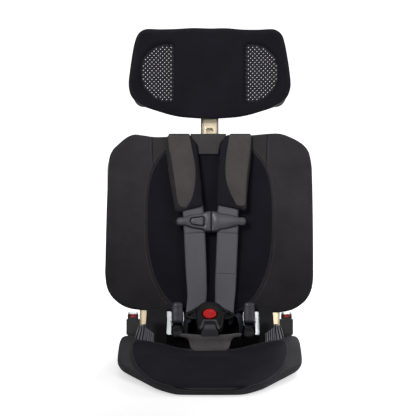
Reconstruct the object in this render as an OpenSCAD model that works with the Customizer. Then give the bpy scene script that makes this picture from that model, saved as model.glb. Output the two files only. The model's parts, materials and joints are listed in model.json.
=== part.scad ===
// Folding travel child seat: reclined aluminium back frame with suspended fabric,
// telescoping headrest, five-point harness and a seat pan that folds up against the back.
// X is across the seat, -Y is forward, +Z is up, millimetres. The floor is Z = 0.

/* [Stance] */
// Recline of the backrest from vertical, degrees
recline = 15; // [12:1:18]
// Forward slope of the seat pan, degrees
pan_slope = 5; // [4:0.5:6]
// Height of the seat fold axis above the floor
hinge_z = 50; // [49:1:52]
// Distance of the seat fold axis behind the middle of the overall depth
hinge_y = 50; // [40:1:60]

/* [Back frame] */
// Distance of each upright from the centre plane
rail_x = 119; // [118:0.5:120]
// Width of an upright, across the seat
rail_w = 13; // [12:0.5:14]
// Depth of an upright, front to back
rail_d = 22; // [20:1:24]
// Wall of the frame extrusions
wall = 1.8; // [1.5:0.1:2.5]
// Length of the uprights above the fold axis
rail_top = 335; // [334:1:338]
// Diameter of the wing hoop tube
hoop_d = 11; // [10:0.5:12]
// Angle at which the wings turn forward, degrees
wing_angle = 14; // [10:1:18]

/* [Backrest fabric] */
// Half width of the backrest over its wings
back_half_w = 186; // [180:1:190]
// Height of the backrest's lower edge along the recline
back_low = 27; // [25:1:30]
// Height of the backrest's upper edge along the recline
back_high = 346; // [343:1:348]
// Half width of the mesh oval
oval_half_w = 113; // [108:1:115]

/* [Headrest] */
// Height of the headrest's lower edge along the recline
head_low = 374; // [372:1:378]
// Height of the headrest's upper edge along the recline
head_high = 535; // [530:1:540]
// Width of the headrest post
post_w = 32; // [30:1:32]
// Thickness of the headrest post
post_t = 14; // [13:0.5:14]

/* [Seat pan] */
// Half width of the seat hoop, centre of tube
pan_half_w = 153.5; // [150:0.5:155]
// Reach of the seat hoop in front of the fold axis
pan_reach = 259; // [250:1:262]

/* [Harness] */
// Width of the harness webbing
web_w = 38; // [36:1:39]
// Thickness of the harness webbing
web_t = 1.6; // [1.2:0.1:2]
// Height of the chest clip along the recline
clip_s = 187; // [186:1:189]
// Lean of the buckle from vertical, degrees
buckle_lean = 44; // [42:1:46]
// Offset of the chest clip to the right of the centre plane
clip_dx = 2.6; // [0:0.1:3]
// Offset of the hip adjusters to the right
adj_dx = 6.5; // [0:0.5:8]

/* [Hidden] */
$fn = 48;
gold = [0.72, 0.64, 0.50];
charcoal = [0.19, 0.19, 0.20];
taupe = [0.28, 0.27, 0.25];
mesh_black = [0.07, 0.07, 0.10];
web_grey = [0.36, 0.36, 0.38];
black = [0.05, 0.05, 0.055];
steel = [0.75, 0.76, 0.78];
red = [0.80, 0.08, 0.06];
grey = [0.38, 0.38, 0.41];

left = -1;  // the -X side
right = 1;
rail_in = rail_x - rail_w / 2;
rail_out = rail_x + rail_w / 2;
bar_heights = [46, 168, 300];  // crossbar centres along the recline
floor_bar = [101, 12];         // Y from the fold axis, height above the floor
crotch_rod = [-21, 12];        // the same
post_y = 25.5;                 // centre of the post behind the back plane
post_back = post_y + post_t / 2;
lock_z = 296;                  // lock button along the recline
head_screw_heights = [420, 490];
pin_d = 10;
pin_end = rail_out - wall - 1;
pan_arm_x = [101, 106.4];      // faces of the seat frame's hinge arms
run_gap = 0.05;                // running clearance on a radius
cover_gap = 0.3;               // clearance of the covers round their frames
pan_pad_t = 15;                // thickness of the seat cover
pan_margin = 7;                // seat cover beyond the hoop's centre line, in front
pan_z = (pan_reach + pan_margin) * sin(pan_slope) + pan_pad_t / 2 * cos(pan_slope);

// ---------- placing ----------
// origin on the fold axis, axes upright
module hinge_frame() { translate([0, hinge_y, hinge_z]) children(); }
// back frame: Y is the distance behind the back plane, Z runs up along the recline
module back_plane() { hinge_frame() rotate([-recline, 0, 0]) children(); }
// pan frame: X across, Y forward reach, Z above the hoop's plane
module pan_plane() {
  translate([0, hinge_y, pan_z]) rotate([pan_slope, 0, 0]) mirror([0, 1, 0]) children();
}
module buckle_plane() {
  translate([0, hinge_y - 44, 53]) rotate([-buckle_lean, 0, 0]) children();
}
// keeps a piece where it is drawn for hand > 0, else mirrors it across the seat
module side(hand) { if (hand > 0) children(); else mirror([1, 0, 0]) children(); }
module both() { children(); mirror([1, 0, 0]) children(); }

// ---------- outlines ----------
function unit(v) = v / norm(v);
function left_normal(v) = let (u = unit(v)) [-u[1], u[0]];
function wrapped(angle) = angle > 180 ? angle - 360 : angle < -180 ? angle + 360 : angle;
function reversed(list) = [for (i = [len(list) - 1:-1:0]) list[i]];
function rect(x0, x1, y0, y1) = [[x0, y0], [x1, y0], [x1, y1], [x0, y1]];
// rounding of one corner: [centre, start angle, turn, length taken off each leg]
function bend(before, at, after, radius) =
  let (a = unit(before - at), b = unit(after - at), half = acos(a * b) / 2,
       cut = radius / tan(half),
       centre = at + unit(a + b) * (radius / sin(half)),
       from = at + a * cut - centre,
       to = at + b * cut - centre,
       start = atan2(from[1], from[0]))
  [centre, start, wrapped(atan2(to[1], to[0]) - start), cut];
function bend_at(path, i, radius) =
  let (n = len(path)) bend(path[(i + n - 1) % n], path[i], path[(i + 1) % n], radius);
function arc_points(arc, radius, steps) =
  [for (i = [0:steps]) let (angle = arc[1] + arc[2] * i / steps)
    arc[0] + radius * [cos(angle), sin(angle)]];
// closed outline with rounded corners; radii is one number or one per corner
function rounded(points, radii, steps = 6) =
  [for (i = [0:len(points) - 1]) let (radius = is_num(radii) ? radii : radii[i])
    each radius <= 0 ? [points[i]] : arc_points(bend_at(points, i, radius), radius, steps)];
// outline given by its right half, completed by mirroring
function paired(half) = concat(half, [for (p = reversed(half)) [-p[0], p[1]]]);
function twice(radii) = concat(radii, reversed(radii));
function rounded_pair(half, radii, steps = 6) = rounded(paired(half), twice(radii), steps);

// ---------- solids ----------
module ring_section(diameter, wall) {
  difference() {
    circle(d = diameter);
    if (wall > 0) circle(d = diameter - 2 * wall);
  }
}
module straight_tube(from, to, diameter, wall) {
  run = to - from;
  translate([from[0], from[1], 0]) rotate([0, 0, atan2(run[1], run[0])]) rotate([0, 90, 0])
    linear_extrude(height = norm(run)) ring_section(diameter, wall);
}
// bent tube along an open path in the XY plane, solid when wall is 0; end radii are ignored
module bent_tube(path, radii, diameter, wall = 0) {
  last = len(path) - 1;
  bends = [for (i = [1:last - 1]) bend_at(path, i, radii[i])];
  cuts = concat([0], [for (arc = bends) arc[3]], [0]);
  for (i = [0:last - 1]) let (u = unit(path[i + 1] - path[i]))
    straight_tube(path[i] + u * cuts[i], path[i + 1] - u * cuts[i + 1], diameter, wall);
  for (i = [1:last - 1]) let (arc = bends[i - 1])
    translate([arc[0][0], arc[0][1], 0]) rotate([0, 0, min(arc[1], arc[1] + arc[2])])
      rotate_extrude(angle = abs(arc[2])) translate([radii[i], 0]) ring_section(diameter, wall);
}
// one edge of a bent flat bar: the open path moved to its left by shift
function bar_edge(path, radii, shift, steps = 8) = let (last = len(path) - 1) concat(
  [path[0] + shift * left_normal(path[1] - path[0])],
  [for (i = [1:last - 1]) let (arc = bend_at(path, i, radii[i]))
    each arc_points(arc, radii[i] - sign(arc[2]) * shift, steps)],
  [path[last] + shift * left_normal(path[last] - path[last - 1])]);
// bent flat bar centred on the path, width in the plane
module bent_bar(path, radii, width, height) {
  translate([0, 0, -height / 2]) linear_extrude(height = height)
    polygon(concat(bar_edge(path, radii, width / 2), reversed(bar_edge(path, radii, -width / 2))));
}
// Z axis turned to run between two points, X staying across
module along(from, to) {
  run = to - from;
  translate(from) rotate([-asin(run[1] / norm(run)), atan2(run[0], run[2]), 0]) children();
}
module web(from, to, width) {
  along(from, to) translate([-width / 2, -web_t / 2, 0]) cube([width, web_t, norm(to - from)]);
}
// slab drawn in the X-Z plane, from y0 to y1
module slab(points, y0, y1) {
  translate([0, y1, 0]) rotate([90, 0, 0]) linear_extrude(height = y1 - y0) polygon(points);
}
// plate drawn in the Y-Z plane, from x0 to x1
module plate(points, x0, x1) {
  translate([x0, 0, 0]) rotate([90, 0, 90]) linear_extrude(height = x1 - x0) polygon(points);
}
// column drawn in the X-Y plane, from z0 to z1
module column(points, z0, z1) {
  translate([0, 0, z0]) linear_extrude(height = z1 - z0) polygon(points);
}
module xrod(x0, x1, y, z, d) {
  translate([x0, y, z]) rotate([0, 90, 0]) cylinder(d = d, h = x1 - x0);
}
module yrod(y0, y1, x, z, d) {
  translate([x, y0, z]) rotate([-90, 0, 0]) cylinder(d = d, h = y1 - y0);
}

// ---------- back frame ----------
hinge_lug = rounded([[-15, -12], [14, -33], [30, -33], [32, 30], [4, 24], [-15, 10]],
                    [8, 2, 2, 6, 6, 9]);
wing_path = [[rail_w / 2, 39], [61, 39], [61, 327], [rail_w / 2, 327]];
wing_radii = [0, 46, 46, 0];
screw_head_d = 9;
screw_socket_d = 4.4;

// upright, floor rail, hinge lug and the strut between them
module side_frame(hand) {
  color(gold) side(hand) difference() {
    union() {
      back_plane() plate(rect(0.5, rail_d, -33, rail_top), rail_in, rail_out);
      hinge_frame() {
        plate(rounded(rect(-28, 112, 5 - hinge_z, 19 - hinge_z), 5), rail_in + 0.5, rail_out - 0.5);
        plate(hinge_lug, 108, rail_in + 0.2);
        translate([rail_x, 94, 14 - hinge_z]) rotate([20.5, 0, 0]) cylinder(d = 10, h = 136);
      }
    }
    back_plane() plate(rect(0.5 + wall, rail_d - wall, -6, rail_top + 1),
                       rail_in + wall, rail_out - wall);
    hinge_frame() xrod(100, pin_end, 0, 0, pin_d);
    back_plane() for (z = bar_heights) yrod(-1, 6, rail_x, z, 5.5);
  }
}
module crossbars() {
  front = 4;
  depth = 12;
  height = 18;
  color(gold) back_plane() for (z = bar_heights) difference() {
    translate([-rail_in, front, z - height / 2]) cube([2 * rail_in, depth, height]);
    translate([-rail_in - 1, front + wall, z - height / 2 + wall])
      cube([2 * rail_in + 2, depth - 2 * wall, height - 2 * wall]);
    for (x = [-14, 14]) yrod(10, 17, x, z, 4);
  }
}
// rod between the side frames; place is Y from the fold axis and height above the floor
module frame_rod(place, end, d) { xrod(-rail_in - end, rail_in + end, place[0], place[1] - hinge_z, d); }
module floor_crossbar() {
  color(gold) hinge_frame() difference() {
    frame_rod(floor_bar, 0.5, 12);
    frame_rod(floor_bar, 1, 9);
  }
}
module harness_anchor_bar() {
  color(steel) back_plane() difference() {
    translate([-108, 6, 16]) cube([216, 4, 18]);
    for (x = [-92, 0, 92]) yrod(0, 12, x, 25, 6);
  }
}
module crotch_anchor_rod() { color(steel) hinge_frame() frame_rod(crotch_rod, 0.5, 9); }
// wing plane: hinged forward about a line on the upright's centre
module wing_plane() {
  translate([rail_x, 5.5, 0]) rotate([0, 0, -wing_angle]) rotate([90, 0, 0]) children();
}
module wing_tube(hand, diameter, wall = 0) {
  back_plane() side(hand) wing_plane() bent_tube(wing_path, wing_radii, diameter, wall);
}
// tube trimmed off at the upright
module wing_hoop(hand) {
  color(gold) difference() {
    wing_tube(hand, hoop_d, wall = 1.5);
    back_plane() side(hand) translate([rail_in, -10, 0]) cube([rail_w + 0.02, 40, rail_top + 20]);
  }
}
// socketed screw heads behind the uprights and on the outer sides of the floor rails
module frame_screws() {
  color(black) {
    back_plane() both() for (z = bar_heights) translate([rail_x, rail_d, z]) difference() {
      yrod(0, 3.2, 0, 0, screw_head_d);
      yrod(1.4, 4, 0, 0, screw_socket_d);
    }
    hinge_frame() both() for (place = [crotch_rod, floor_bar])
      translate([rail_out - 0.5, place[0], place[1] - hinge_z]) difference() {
        xrod(0, 3, 0, 0, screw_head_d);
        xrod(1.4, 4, 0, 0, screw_socket_d);
      }
  }
}
// feet with a shallow channel that takes the floor rail
module rubber_feet() {
  foot = [14, 24, 5.9];
  color(black) hinge_frame() both() for (y = [-24, 86])
    translate([rail_x - foot[0] / 2, y, -hinge_z]) difference() {
      cube(foot);
      translate([1, -1, 5]) cube([foot[0] - 2, foot[1] + 2, 4]);
    }
}

// ---------- headrest guide and lock ----------
// block round the post, larger by margin_x and margin_y on each side
module post_block(margin_x, margin_y, z, height) {
  translate([-post_w / 2 - margin_x, post_y - post_t / 2 - margin_y, z])
    cube([post_w + 2 * margin_x, post_t + 2 * margin_y, height]);
}
function post_outline(extra_w, extra_t, radius) =
  let (x = (post_w + extra_w) / 2, y = (post_t + extra_t) / 2) rounded(rect(-x, x, -y, y), radius);

module post_guide() {
  color(gold) back_plane() difference() {
    post_block(2.8, 2.5, 64, 252);
    post_block(0.8, 0.5, 60, 260);
    yrod(post_y, post_y + 20, 0, lock_z, 8.1);
  }
}
module guide_collar() {
  color(black) back_plane() difference() {
    translate([0, post_y, 0]) column(post_outline(12, 11, 5), 316, 330);
    translate([0, post_y, 0]) column(post_outline(0.4, 0.4, 3), 300, 340);
  }
}
// dished button on a stem
module lock_button() {
  color(black) back_plane() {
    difference() {
      yrod(post_back + 11, post_back + 17, 0, lock_z, 20);
      translate([0, post_back + 37, lock_z]) sphere(d = 44);
    }
    yrod(post_back - 1, post_back + 12, 0, lock_z, 6);
  }
}
// four separate rings round the button's stem
module lock_spring() {
  pitch = 1.25;
  color(steel) back_plane() for (i = [0:3])
    translate([0, post_back + 3.1 + i * pitch, lock_z]) rotate([-90, 0, 0])
      rotate_extrude() translate([5.2, 0]) circle(d = 1, $fn = 16);
}

// ---------- fold hinge and base ----------
module hinge_pins() {
  head_end = 99.8;
  color(steel) hinge_frame() both() {
    xrod(head_end - 3, head_end, 0, 0, 16);
    xrod(head_end, pin_end, 0, 0, pin_d);
  }
}
module hinge_washers() {
  color(black) hinge_frame() both() difference() {
    xrod(106.6, 107.9, 0, 0, 20);
    xrod(106, 109, 0, 0, pin_d + 2 * run_gap);
  }
}
module base_panel() {
  profile = [[-14, -41], [26, -41], [40, 18], [36.5, 20], [22, -37.5], [-14, -37.5]];
  color(black) hinge_frame() plate(profile, -107, 107);
}

// ---------- backrest fabric ----------
// half width of the mesh oval at height z: a superellipse, different above and below its middle
oval_mid = 190;
function oval_x(z) = let (rise = z - oval_mid,
                          power = rise > 0 ? 3 : 2.4, reach = rise > 0 ? 142 : 172)
  oval_half_w * pow(1 - pow(abs(rise) / reach, power), 1 / power);
oval_heights = [for (i = [0:24]) 33 + (309 - 33) * i / 24];

module back_cover() {
  wing_w = (back_half_w - rail_x) / cos(wing_angle);
  wing_high = back_high + 1;
  centre_half = [[124, back_low + 1], [124, back_high], [96, back_high - 5],
                 [60, back_high - 3], [20, back_high]];
  color(charcoal) difference() {
    back_plane() {
      difference() {
        slab(paired(centre_half), -8, -0.1);
        slab(paired([for (z = oval_heights) [oval_x(z), z]]), -20, 5);
      }
      both() wing_plane()
        column(rounded(rect(0, wing_w, back_low, wing_high), [0, 58, 58, 0], 10), -7.5, 7.5);
    }
    // room for the uprights and the wing hoops
    back_plane() both() translate([rail_in - 6, -0.1, 0]) cube([rail_w + 6.3, 40, 400]);
    for (hand = [right, left]) wing_tube(hand, hoop_d + 2 * cover_gap);
  }
}
// slightly smaller than the oval opening
module back_mesh() {
  color(mesh_black) back_plane()
    slab(paired([for (z = oval_heights) [oval_x(z) - 0.6, z * 0.996 + 0.7]]), -3, -0.6);
}
module yoke_tab() {
  color(taupe) back_plane()
    slab(rounded_pair([[19, 309.5], [23, 328], [31, 344.5]], [4, 8, 2]), -10, -8.1);
}

// ---------- harness: shoulders ----------
// line of the left webbing in the back frame: top, below the pad, at the clip, above the buckle
clip_y = -23.5;
strap_top = [-55, -11, 345.5];
strap_pad_end = [-30, -23, 207.5];
strap_clip = [-27, clip_y, 166.5];
strap_end = [-22.6, -17, 58];
// the right webbing lies further out from the clip down, as drawn before mirroring
right_shift = [-4.8, 0, 0];

module shoulder_strap(hand) {
  shift = hand > 0 ? right_shift : [0, 0, 0];
  edge_x = strap_top[0] - web_w / 2;
  color(web_grey) back_plane() side(-hand) {
    web(strap_top, strap_pad_end + shift * 0.6, web_w);
    web(strap_clip + shift, strap_end + shift, web_w);
    // over the top of the backrest and down behind it
    translate([edge_x, -12, back_high + 0.4]) cube([web_w, 30, web_t]);
    translate([edge_x, 16.4, 310]) cube([web_w, web_t, 37]);
  }
}
module shoulder_pad(hand) {
  length = norm(strap_pad_end - strap_top) + 4;
  outline = rounded(
    [[-20, 2], [19, 2], [27, 60], [31, length - 12],
     [25, length - 3], [-2, length - 3], [-17, length - 8], [-22, 60]],
    [5, 5, 30, 7, 6, 10, 5, 30]);
  color(taupe) back_plane() side(-hand) along(strap_top, strap_pad_end)
    slab(outline, -web_t / 2 - 9.5, -web_t / 2 - 0.3);
}

// ---------- harness: chest clip ----------
// right half of a lozenge with a broad centre block, seen from the front
clip_outline = rounded(
  [[0, 19], [14, 19], [17, 16.5], [40, 11], [52, 6], [62, 7], [64, 0],
   [62, -7], [52, -6], [40, -11], [17, -16.5], [14, -19], [0, -19]],
  [0, 2, 6, 20, 8, 5, 5, 5, 8, 20, 6, 2, 0], 5);
// tapered button, half heights at its inner and outer edges
function clip_button_outline(inner_x, inner_h, outer_x, outer_h) =
  rounded([[-inner_x, -inner_h], [-inner_x, inner_h], [-outer_x, outer_h], [-outer_x, -outer_h]],
          [3, 3, 4, 4]);

module clip_plane() { back_plane() translate([clip_dx, clip_y, clip_s]) children(); }
// slotted body of one side, kept between x0 and x1 from the clip's centre
module clip_body(hand, x0, x1) {
  clip_plane() side(hand) difference() {
    slab(clip_outline, -8, 5);
    translate([9.3, -1.4, -40]) cube([web_w + 1.6, 2.8, 80]);
    for (x = [x0 - 100, x1]) translate([x, -50, -50]) cube([100, 100, 100]);
  }
}
module clip_half_left() {
  color(grey) difference() {
    union() {
      clip_body(left, 0, 80);
      clip_body(right, 0, 0.1);
    }
    clip_plane() {
      translate([-33, -6.4, -9]) cube([40, 4.6, 18]);
      slab(clip_button_outline(9.3, 9.3, 33, 7.3), -12, -6);
    }
  }
}
// with a tongue that enters the left half
module clip_half_right() {
  color(grey) {
    clip_body(right, 0.5, 80);
    clip_plane() translate([-18, -5.6, -8]) cube([22, 3, 16]);
  }
}
module clip_button() {
  color(grey) clip_plane() slab(clip_button_outline(9.8, 8.8, 32.4, 6.8), -9.2, -7);
}

// ---------- harness: buckle ----------
buckle_outline = rounded_pair([[21, 0], [24, 18], [25, 38], [17, 54], [7, 60]],
                              [5, 20, 12, 10, 4]);
buckle_button_z = 30;

module buckle_front_shell() {
  color(black) buckle_plane() difference() {
    slab(buckle_outline, -11, -0.1);
    translate([-22, -8.6, 3]) cube([44, 9, 18]);
    translate([-60, -2.3, 21.5]) cube([120, 5, 60]);
    yrod(-20, -2, 0, buckle_button_z, 26.6);
  }
}
module buckle_rear_shell() {
  color(black) buckle_plane() difference() {
    slab(buckle_outline, 0.1, 9);
    translate([-19, -1, 4]) cube([38, 7.5, 16]);
    translate([-60, -2.3, 21.5]) cube([120, 4.6, 60]);
  }
}
module buckle_button() {
  color(red) buckle_plane() difference() {
    yrod(-12.6, -6.6, 0, buckle_button_z, 26);
    yrod(-20, -12, 0, buckle_button_z, 12);
  }
}
module tongue(hand) {
  outline = rounded(
    [[-0.6, 24], [-20, 23.5], [-40, 27], [-46, 34], [-30, 47], [-10, 61], [-0.6, 61]],
    [1, 4, 6, 5, 20, 4, 1]);
  color(black) buckle_plane() side(-hand) difference() {
    slab(outline, -2, 2);
    slab([[-39, 34.5], [-13, 54.5], [-11.5, 52], [-37.5, 32]], -9, 9);
  }
}
module lap_straps() {
  color(web_grey) adjusters() both() translate([50.6, -22, 0]) cube([3, web_t, 20]);
}
module crotch_strap() {
  color(web_grey) hinge_frame() web([0, -31, -32], [0, -39, -3.8], 34);
}
module crotch_pad() {
  color(taupe) hinge_frame() slab(rounded_pair([[33, -34], [38, 0]], [6, 8]), -48, -42.2);
}

// ---------- hip adjusters ----------
lever_y = -8;    // lever axis from the back plane
lever_z = 12;    // and up the recline
lever_pin_d = 5;
module adjusters() { back_plane() translate([adj_dx, 0, 0]) children(); }
module lever_rod(x0, x1, d) { xrod(x0, x1, lever_y, lever_z, d); }

// back plate with two cheeks
module adjuster_brackets() {
  back_outline = rounded([[53, -14], [84, -14], [82.4, 12], [82.4, 33], [53, 33]],
                         [3, 3, 20, 5, 5]);
  cheek = [[-14, 10], [-8.4, 2], [4, 2], [4, 26], [-14, 26]];
  color(steel) adjusters() both() difference() {
    union() {
      slab(back_outline, 2.6, 5.9);
      for (x = [53, 72.6]) plate(cheek, x, x + 2.4);
    }
    lever_rod(50, 80, lever_pin_d);
  }
}
module adjuster_pins() {
  color(steel) adjusters() both() {
    lever_rod(52.6, 75.4, lever_pin_d);
    lever_rod(75, 76.4, 8);
  }
}
module adjuster_lever(hand) {
  x0 = 55.9;
  x1 = 72.1;
  color(black) adjusters() side(hand) difference() {
    union() {
      lever_rod(x0, x1, 12);
      translate([x0, -20, 8]) cube([x1 - x0, 12, 8]);
      slab(rounded(rect(54, 74, -4, 44), [4, 4, 8, 8]), -26, -15);
    }
    lever_rod(50, 80, lever_pin_d + 2 * run_gap);
  }
}

// ---------- lower anchors and tether ----------
module connector_housings() {
  color(black) back_plane() both() difference() {
    column(rounded(rect(128.4, 147, -4, 26), 4), -35.6, 22.4);
    translate([131.4, 1, 4.4]) cube([12.6, 16, 30]);
    translate([131.4, -6, 17.4]) cube([12.6, 9, 9]);
  }
}
module connector_jaws() {
  color(steel) back_plane() both() difference() {
    column(rounded(rect(129, 146.4, -3, 25), 4), 22.5, 25.9);
    translate([131.2, 0.8, 20]) cube([13, 16.4, 30]);
  }
}
module connector_button(hand) {
  color(red) back_plane() side(hand) translate([131.8, 1.4, 11.4]) difference() {
    cube([11.8, 15.2, 13]);
    translate([3.5, 3, 11]) cube([4.8, 20, 5]);
  }
}
// sleeves on the outer faces of the uprights
module connector_holders() {
  color(black) back_plane() both() difference() {
    translate([rail_out + 0.1, -5.6, -14]) cube([23.4, 33.4, 28]);
    translate([128.2, -4.2, -20]) cube([19.2, 30.4, 40]);
  }
}
module anchor_straps() {
  profile = [[-11, -35], [15.5, -42], [34, -23], [94, -23], [94, -46], [-4, -46]];
  color(web_grey) hinge_frame() both() plate(profile, 136.5, 138);
}
// two layers of webbing
module tether_strap() {
  color(web_grey) back_plane() {
    translate([42, 16.2, 92]) cube([25, 1.5, 208]);
    translate([44, 17.8, 120]) cube([21, 1.5, 90]);
  }
}
module tether_hook() {
  color(steel) back_plane() difference() {
    slab(rounded(rect(40, 69, 58, 91), [10, 10, 4, 4]), 16.2, 18.4);
    slab(rounded(rect(45, 61, 66, 80), [6, 6, 3, 3]), 10, 30);
    slab(rect(60, 80, 70, 75), 10, 30);
  }
}

// ---------- fold release ----------
module release_bar() {
  color(black) back_plane() difference() {
    translate([-116, 36, 144]) cube([232, 8, 13]);
    translate([-60, 42, 148]) cube([120, 4, 5]);
  }
}
// guides behind the uprights, relieved for the middle frame screws
module release_guides() {
  color(black) back_plane() both() difference() {
    translate([104, rail_d + 0.1, 136]) cube([21, 26, 38]);
    translate([100, 35.6, 140]) cube([17, 8.8, 30]);
    yrod(rail_d - 1, rail_d + 3.5, rail_x, bar_heights[1], 9.6);
  }
}

// ---------- headrest ----------
head_y = -6;      // middle of the headrest pad
head_angle = 16;  // forward turn of its sides
link_heights = [391, 523];
head_path = [[-1, link_heights[0]], [68, 396], [80, 418], [54, link_heights[1]],
             [-1, link_heights[1]]];

module head_side() {
  translate([62, head_y, 0]) rotate([0, 0, -head_angle]) rotate([90, 0, 0]) children();
}
module head_loop(gap) {
  bent_bar(head_path, [0, 16, 16, 16, 0], 4 + 2 * gap, 7 + 2 * gap);
}
// bars joining the two side loops, and their stubs to the back plate
module head_links(gap) {
  for (z = link_heights) translate([-62.4, head_y - 4 - gap, z - 2.5 - gap])
    cube([124.8, 8 + 2 * gap, 5 + 2 * gap]);
  for (z = link_heights) translate([-12 - gap, head_y, z - 3 - gap])
    cube([24 + 2 * gap, 8.8, 6 + 2 * gap]);
}
function head_opening(inset) =
  rounded(rect(4 + inset, 61 - inset, 404 + inset, 506 - inset), [6, 44 - inset, 44 - inset, 6]);

// hollow post with notches in front and a slot behind
module headrest_post() {
  color(gold) back_plane() difference() {
    translate([0, post_y, 104]) linear_extrude(height = 410) difference() {
      polygon(post_outline(0, 0, 3));
      polygon(post_outline(-4, -4, 1));
    }
    for (z = [355.5:-22:200]) slab(rounded(rect(-6, 6, z - 3.5, z + 3.5), 3.4), 10, post_y);
    slab(rect(-3.6, 3.6, 150, 330), post_y, 40);
    for (z = head_screw_heights) yrod(10, post_y, 0, z, 5);
  }
}
module headrest_frame() {
  color(black) back_plane() difference() {
    union() {
      both() head_side() head_loop(0);
      head_links(0);
      translate([-28, 2.6, 386]) cube([56, 3.4, 142]);
      for (z = head_screw_heights) translate([-12, 5.9, z - 12]) cube([24, 12.5, 24]);
    }
    for (z = head_screw_heights) yrod(0, 30, 0, z, 5);
  }
}
module headrest_screws() {
  shank = 20.6;
  color(steel) back_plane() for (z = head_screw_heights) {
    yrod(0, shank, 0, z, 5);
    yrod(shank, 23.5, 0, z, 9);
  }
}
module headrest_cover() {
  centre_half = [[10, head_low], [30, head_low + 1.5], [62.5, head_low + 5], [62.5, head_high]];
  side_outline = rounded(
    [[-2, head_low + 4], [72, head_low + 11], [90, 412], [61, head_high + 2], [-2, head_high]],
    [0, 22, 22, 20, 0], 8);
  half_t = 8;
  color(mesh_black) back_plane() difference() {
    union() {
      slab(paired(centre_half), head_y - half_t, head_y + half_t);
      both() head_side() translate([0, 0, -half_t]) linear_extrude(height = 2 * half_t)
        difference() {
          polygon(side_outline);
          polygon(head_opening(0));
        }
    }
    both() head_side() head_loop(cover_gap);
    head_links(cover_gap);
    slab(rect(-28.4, 28.4, 385, 529), 2.3, 8);
    for (z = head_screw_heights) yrod(-1, 9, 0, z, 5.4);
  }
}
module headrest_vents() {
  color(mesh_black) back_plane() both() head_side() column(head_opening(0.4), -0.7, 0.7);
}

// ---------- seat pan ----------
module pan_hoop(gap = 0) {
  path = paired([[104, 20], [150, 24], [pan_half_w, 133], [68, pan_reach]]);
  bent_bar(path, twice([0, 18, 60, 45]), 8 + 2 * gap, 10 + 2 * gap);
}
function pan_opening(half) = rounded_pair(half, [10, 50, 30], 8);

// hoop with a bored hinge arm on each side
module seat_frame() {
  arm = [[-13, 6], [7, -12], [-13, -29], [-29, -23], [-29, -16]];
  color(gold) difference() {
    union() {
      pan_plane() pan_hoop();
      hinge_frame() both() {
        xrod(pan_arm_x[0], pan_arm_x[1], 0, 0, 28);
        plate(arm, pan_arm_x[0], pan_arm_x[1]);
      }
    }
    hinge_frame() both() xrod(95, 110, 0, 0, 14);
  }
}
module hinge_bushes() {
  color(black) hinge_frame() both() difference() {
    union() {
      xrod(pan_arm_x[0], pan_arm_x[1], 0, 0, 14);
      xrod(99.9, 100.95, 0, 0, 19);
    }
    xrod(99, 110, 0, 0, pin_d + 2 * run_gap);
  }
}
module seat_cover() {
  half = [[116, 53], [128, 14], [157, 14], [pan_half_w + 6.5, 133], [71, pan_reach + pan_margin]];
  color(charcoal) difference() {
    pan_plane() translate([0, 0, -pan_pad_t / 2]) linear_extrude(height = pan_pad_t) difference() {
      polygon(rounded_pair(half, [8, 6, 20, 64, 50], 8));
      polygon(pan_opening([[131, 66], [134, 128], [64, 252]]));
    }
    pan_plane() pan_hoop(cover_gap);
  }
}
module seat_mesh() {
  color(mesh_black) pan_plane()
    column(pan_opening([[130.4, 66.6], [133.4, 128], [63.6, 251.4]]), -3, -0.5);
}
module seat_gathers() {
  color(charcoal) pan_plane() both() translate([92, 34, -6]) cube([22, 14, 15]);
}

side_frame(left);  // side_frame_left
side_frame(right);  // side_frame_right
crossbars();
floor_crossbar();
harness_anchor_bar();
crotch_anchor_rod();
wing_hoop(left);  // wing_hoop_left
wing_hoop(right);  // wing_hoop_right
frame_screws();
rubber_feet();
post_guide();
guide_collar();
lock_button();
lock_spring();
hinge_pins();
hinge_washers();
base_panel();
back_cover();
back_mesh();
yoke_tab();
shoulder_strap(left);  // shoulder_strap_left
shoulder_strap(right);  // shoulder_strap_right
shoulder_pad(left);  // shoulder_pad_left
shoulder_pad(right);  // shoulder_pad_right
clip_half_left();
clip_half_right();
clip_button();
buckle_front_shell();
buckle_rear_shell();
buckle_button();
tongue(left);  // tongue_left
tongue(right);  // tongue_right
lap_straps();
crotch_strap();
crotch_pad();
adjuster_brackets();
adjuster_pins();
adjuster_lever(left);  // adjuster_lever_left
adjuster_lever(right);  // adjuster_lever_right
connector_housings();
connector_jaws();
connector_button(left);  // connector_button_left
connector_button(right);  // connector_button_right
connector_holders();
anchor_straps();
tether_strap();
tether_hook();
release_bar();
release_guides();
headrest_post();
headrest_frame();
headrest_screws();
headrest_cover();
headrest_vents();
seat_frame();
hinge_bushes();
seat_cover();
seat_mesh();
seat_gathers();
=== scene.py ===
# A folding child car seat: a metal tube frame carrying a reclined cloth backrest with a
# five-point harness, a headrest on a post, and a cloth seat pan hinged below the backrest.
#
# It stands on z = 0 and faces -Y; X runs across it and "left" is -X. Shapes are written in
# millimetres in a few local frames (see "Frames") and turned into metres when meshed.
import json
import math

import bmesh
import bpy
import numpy as np
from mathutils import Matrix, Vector, geometry


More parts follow.
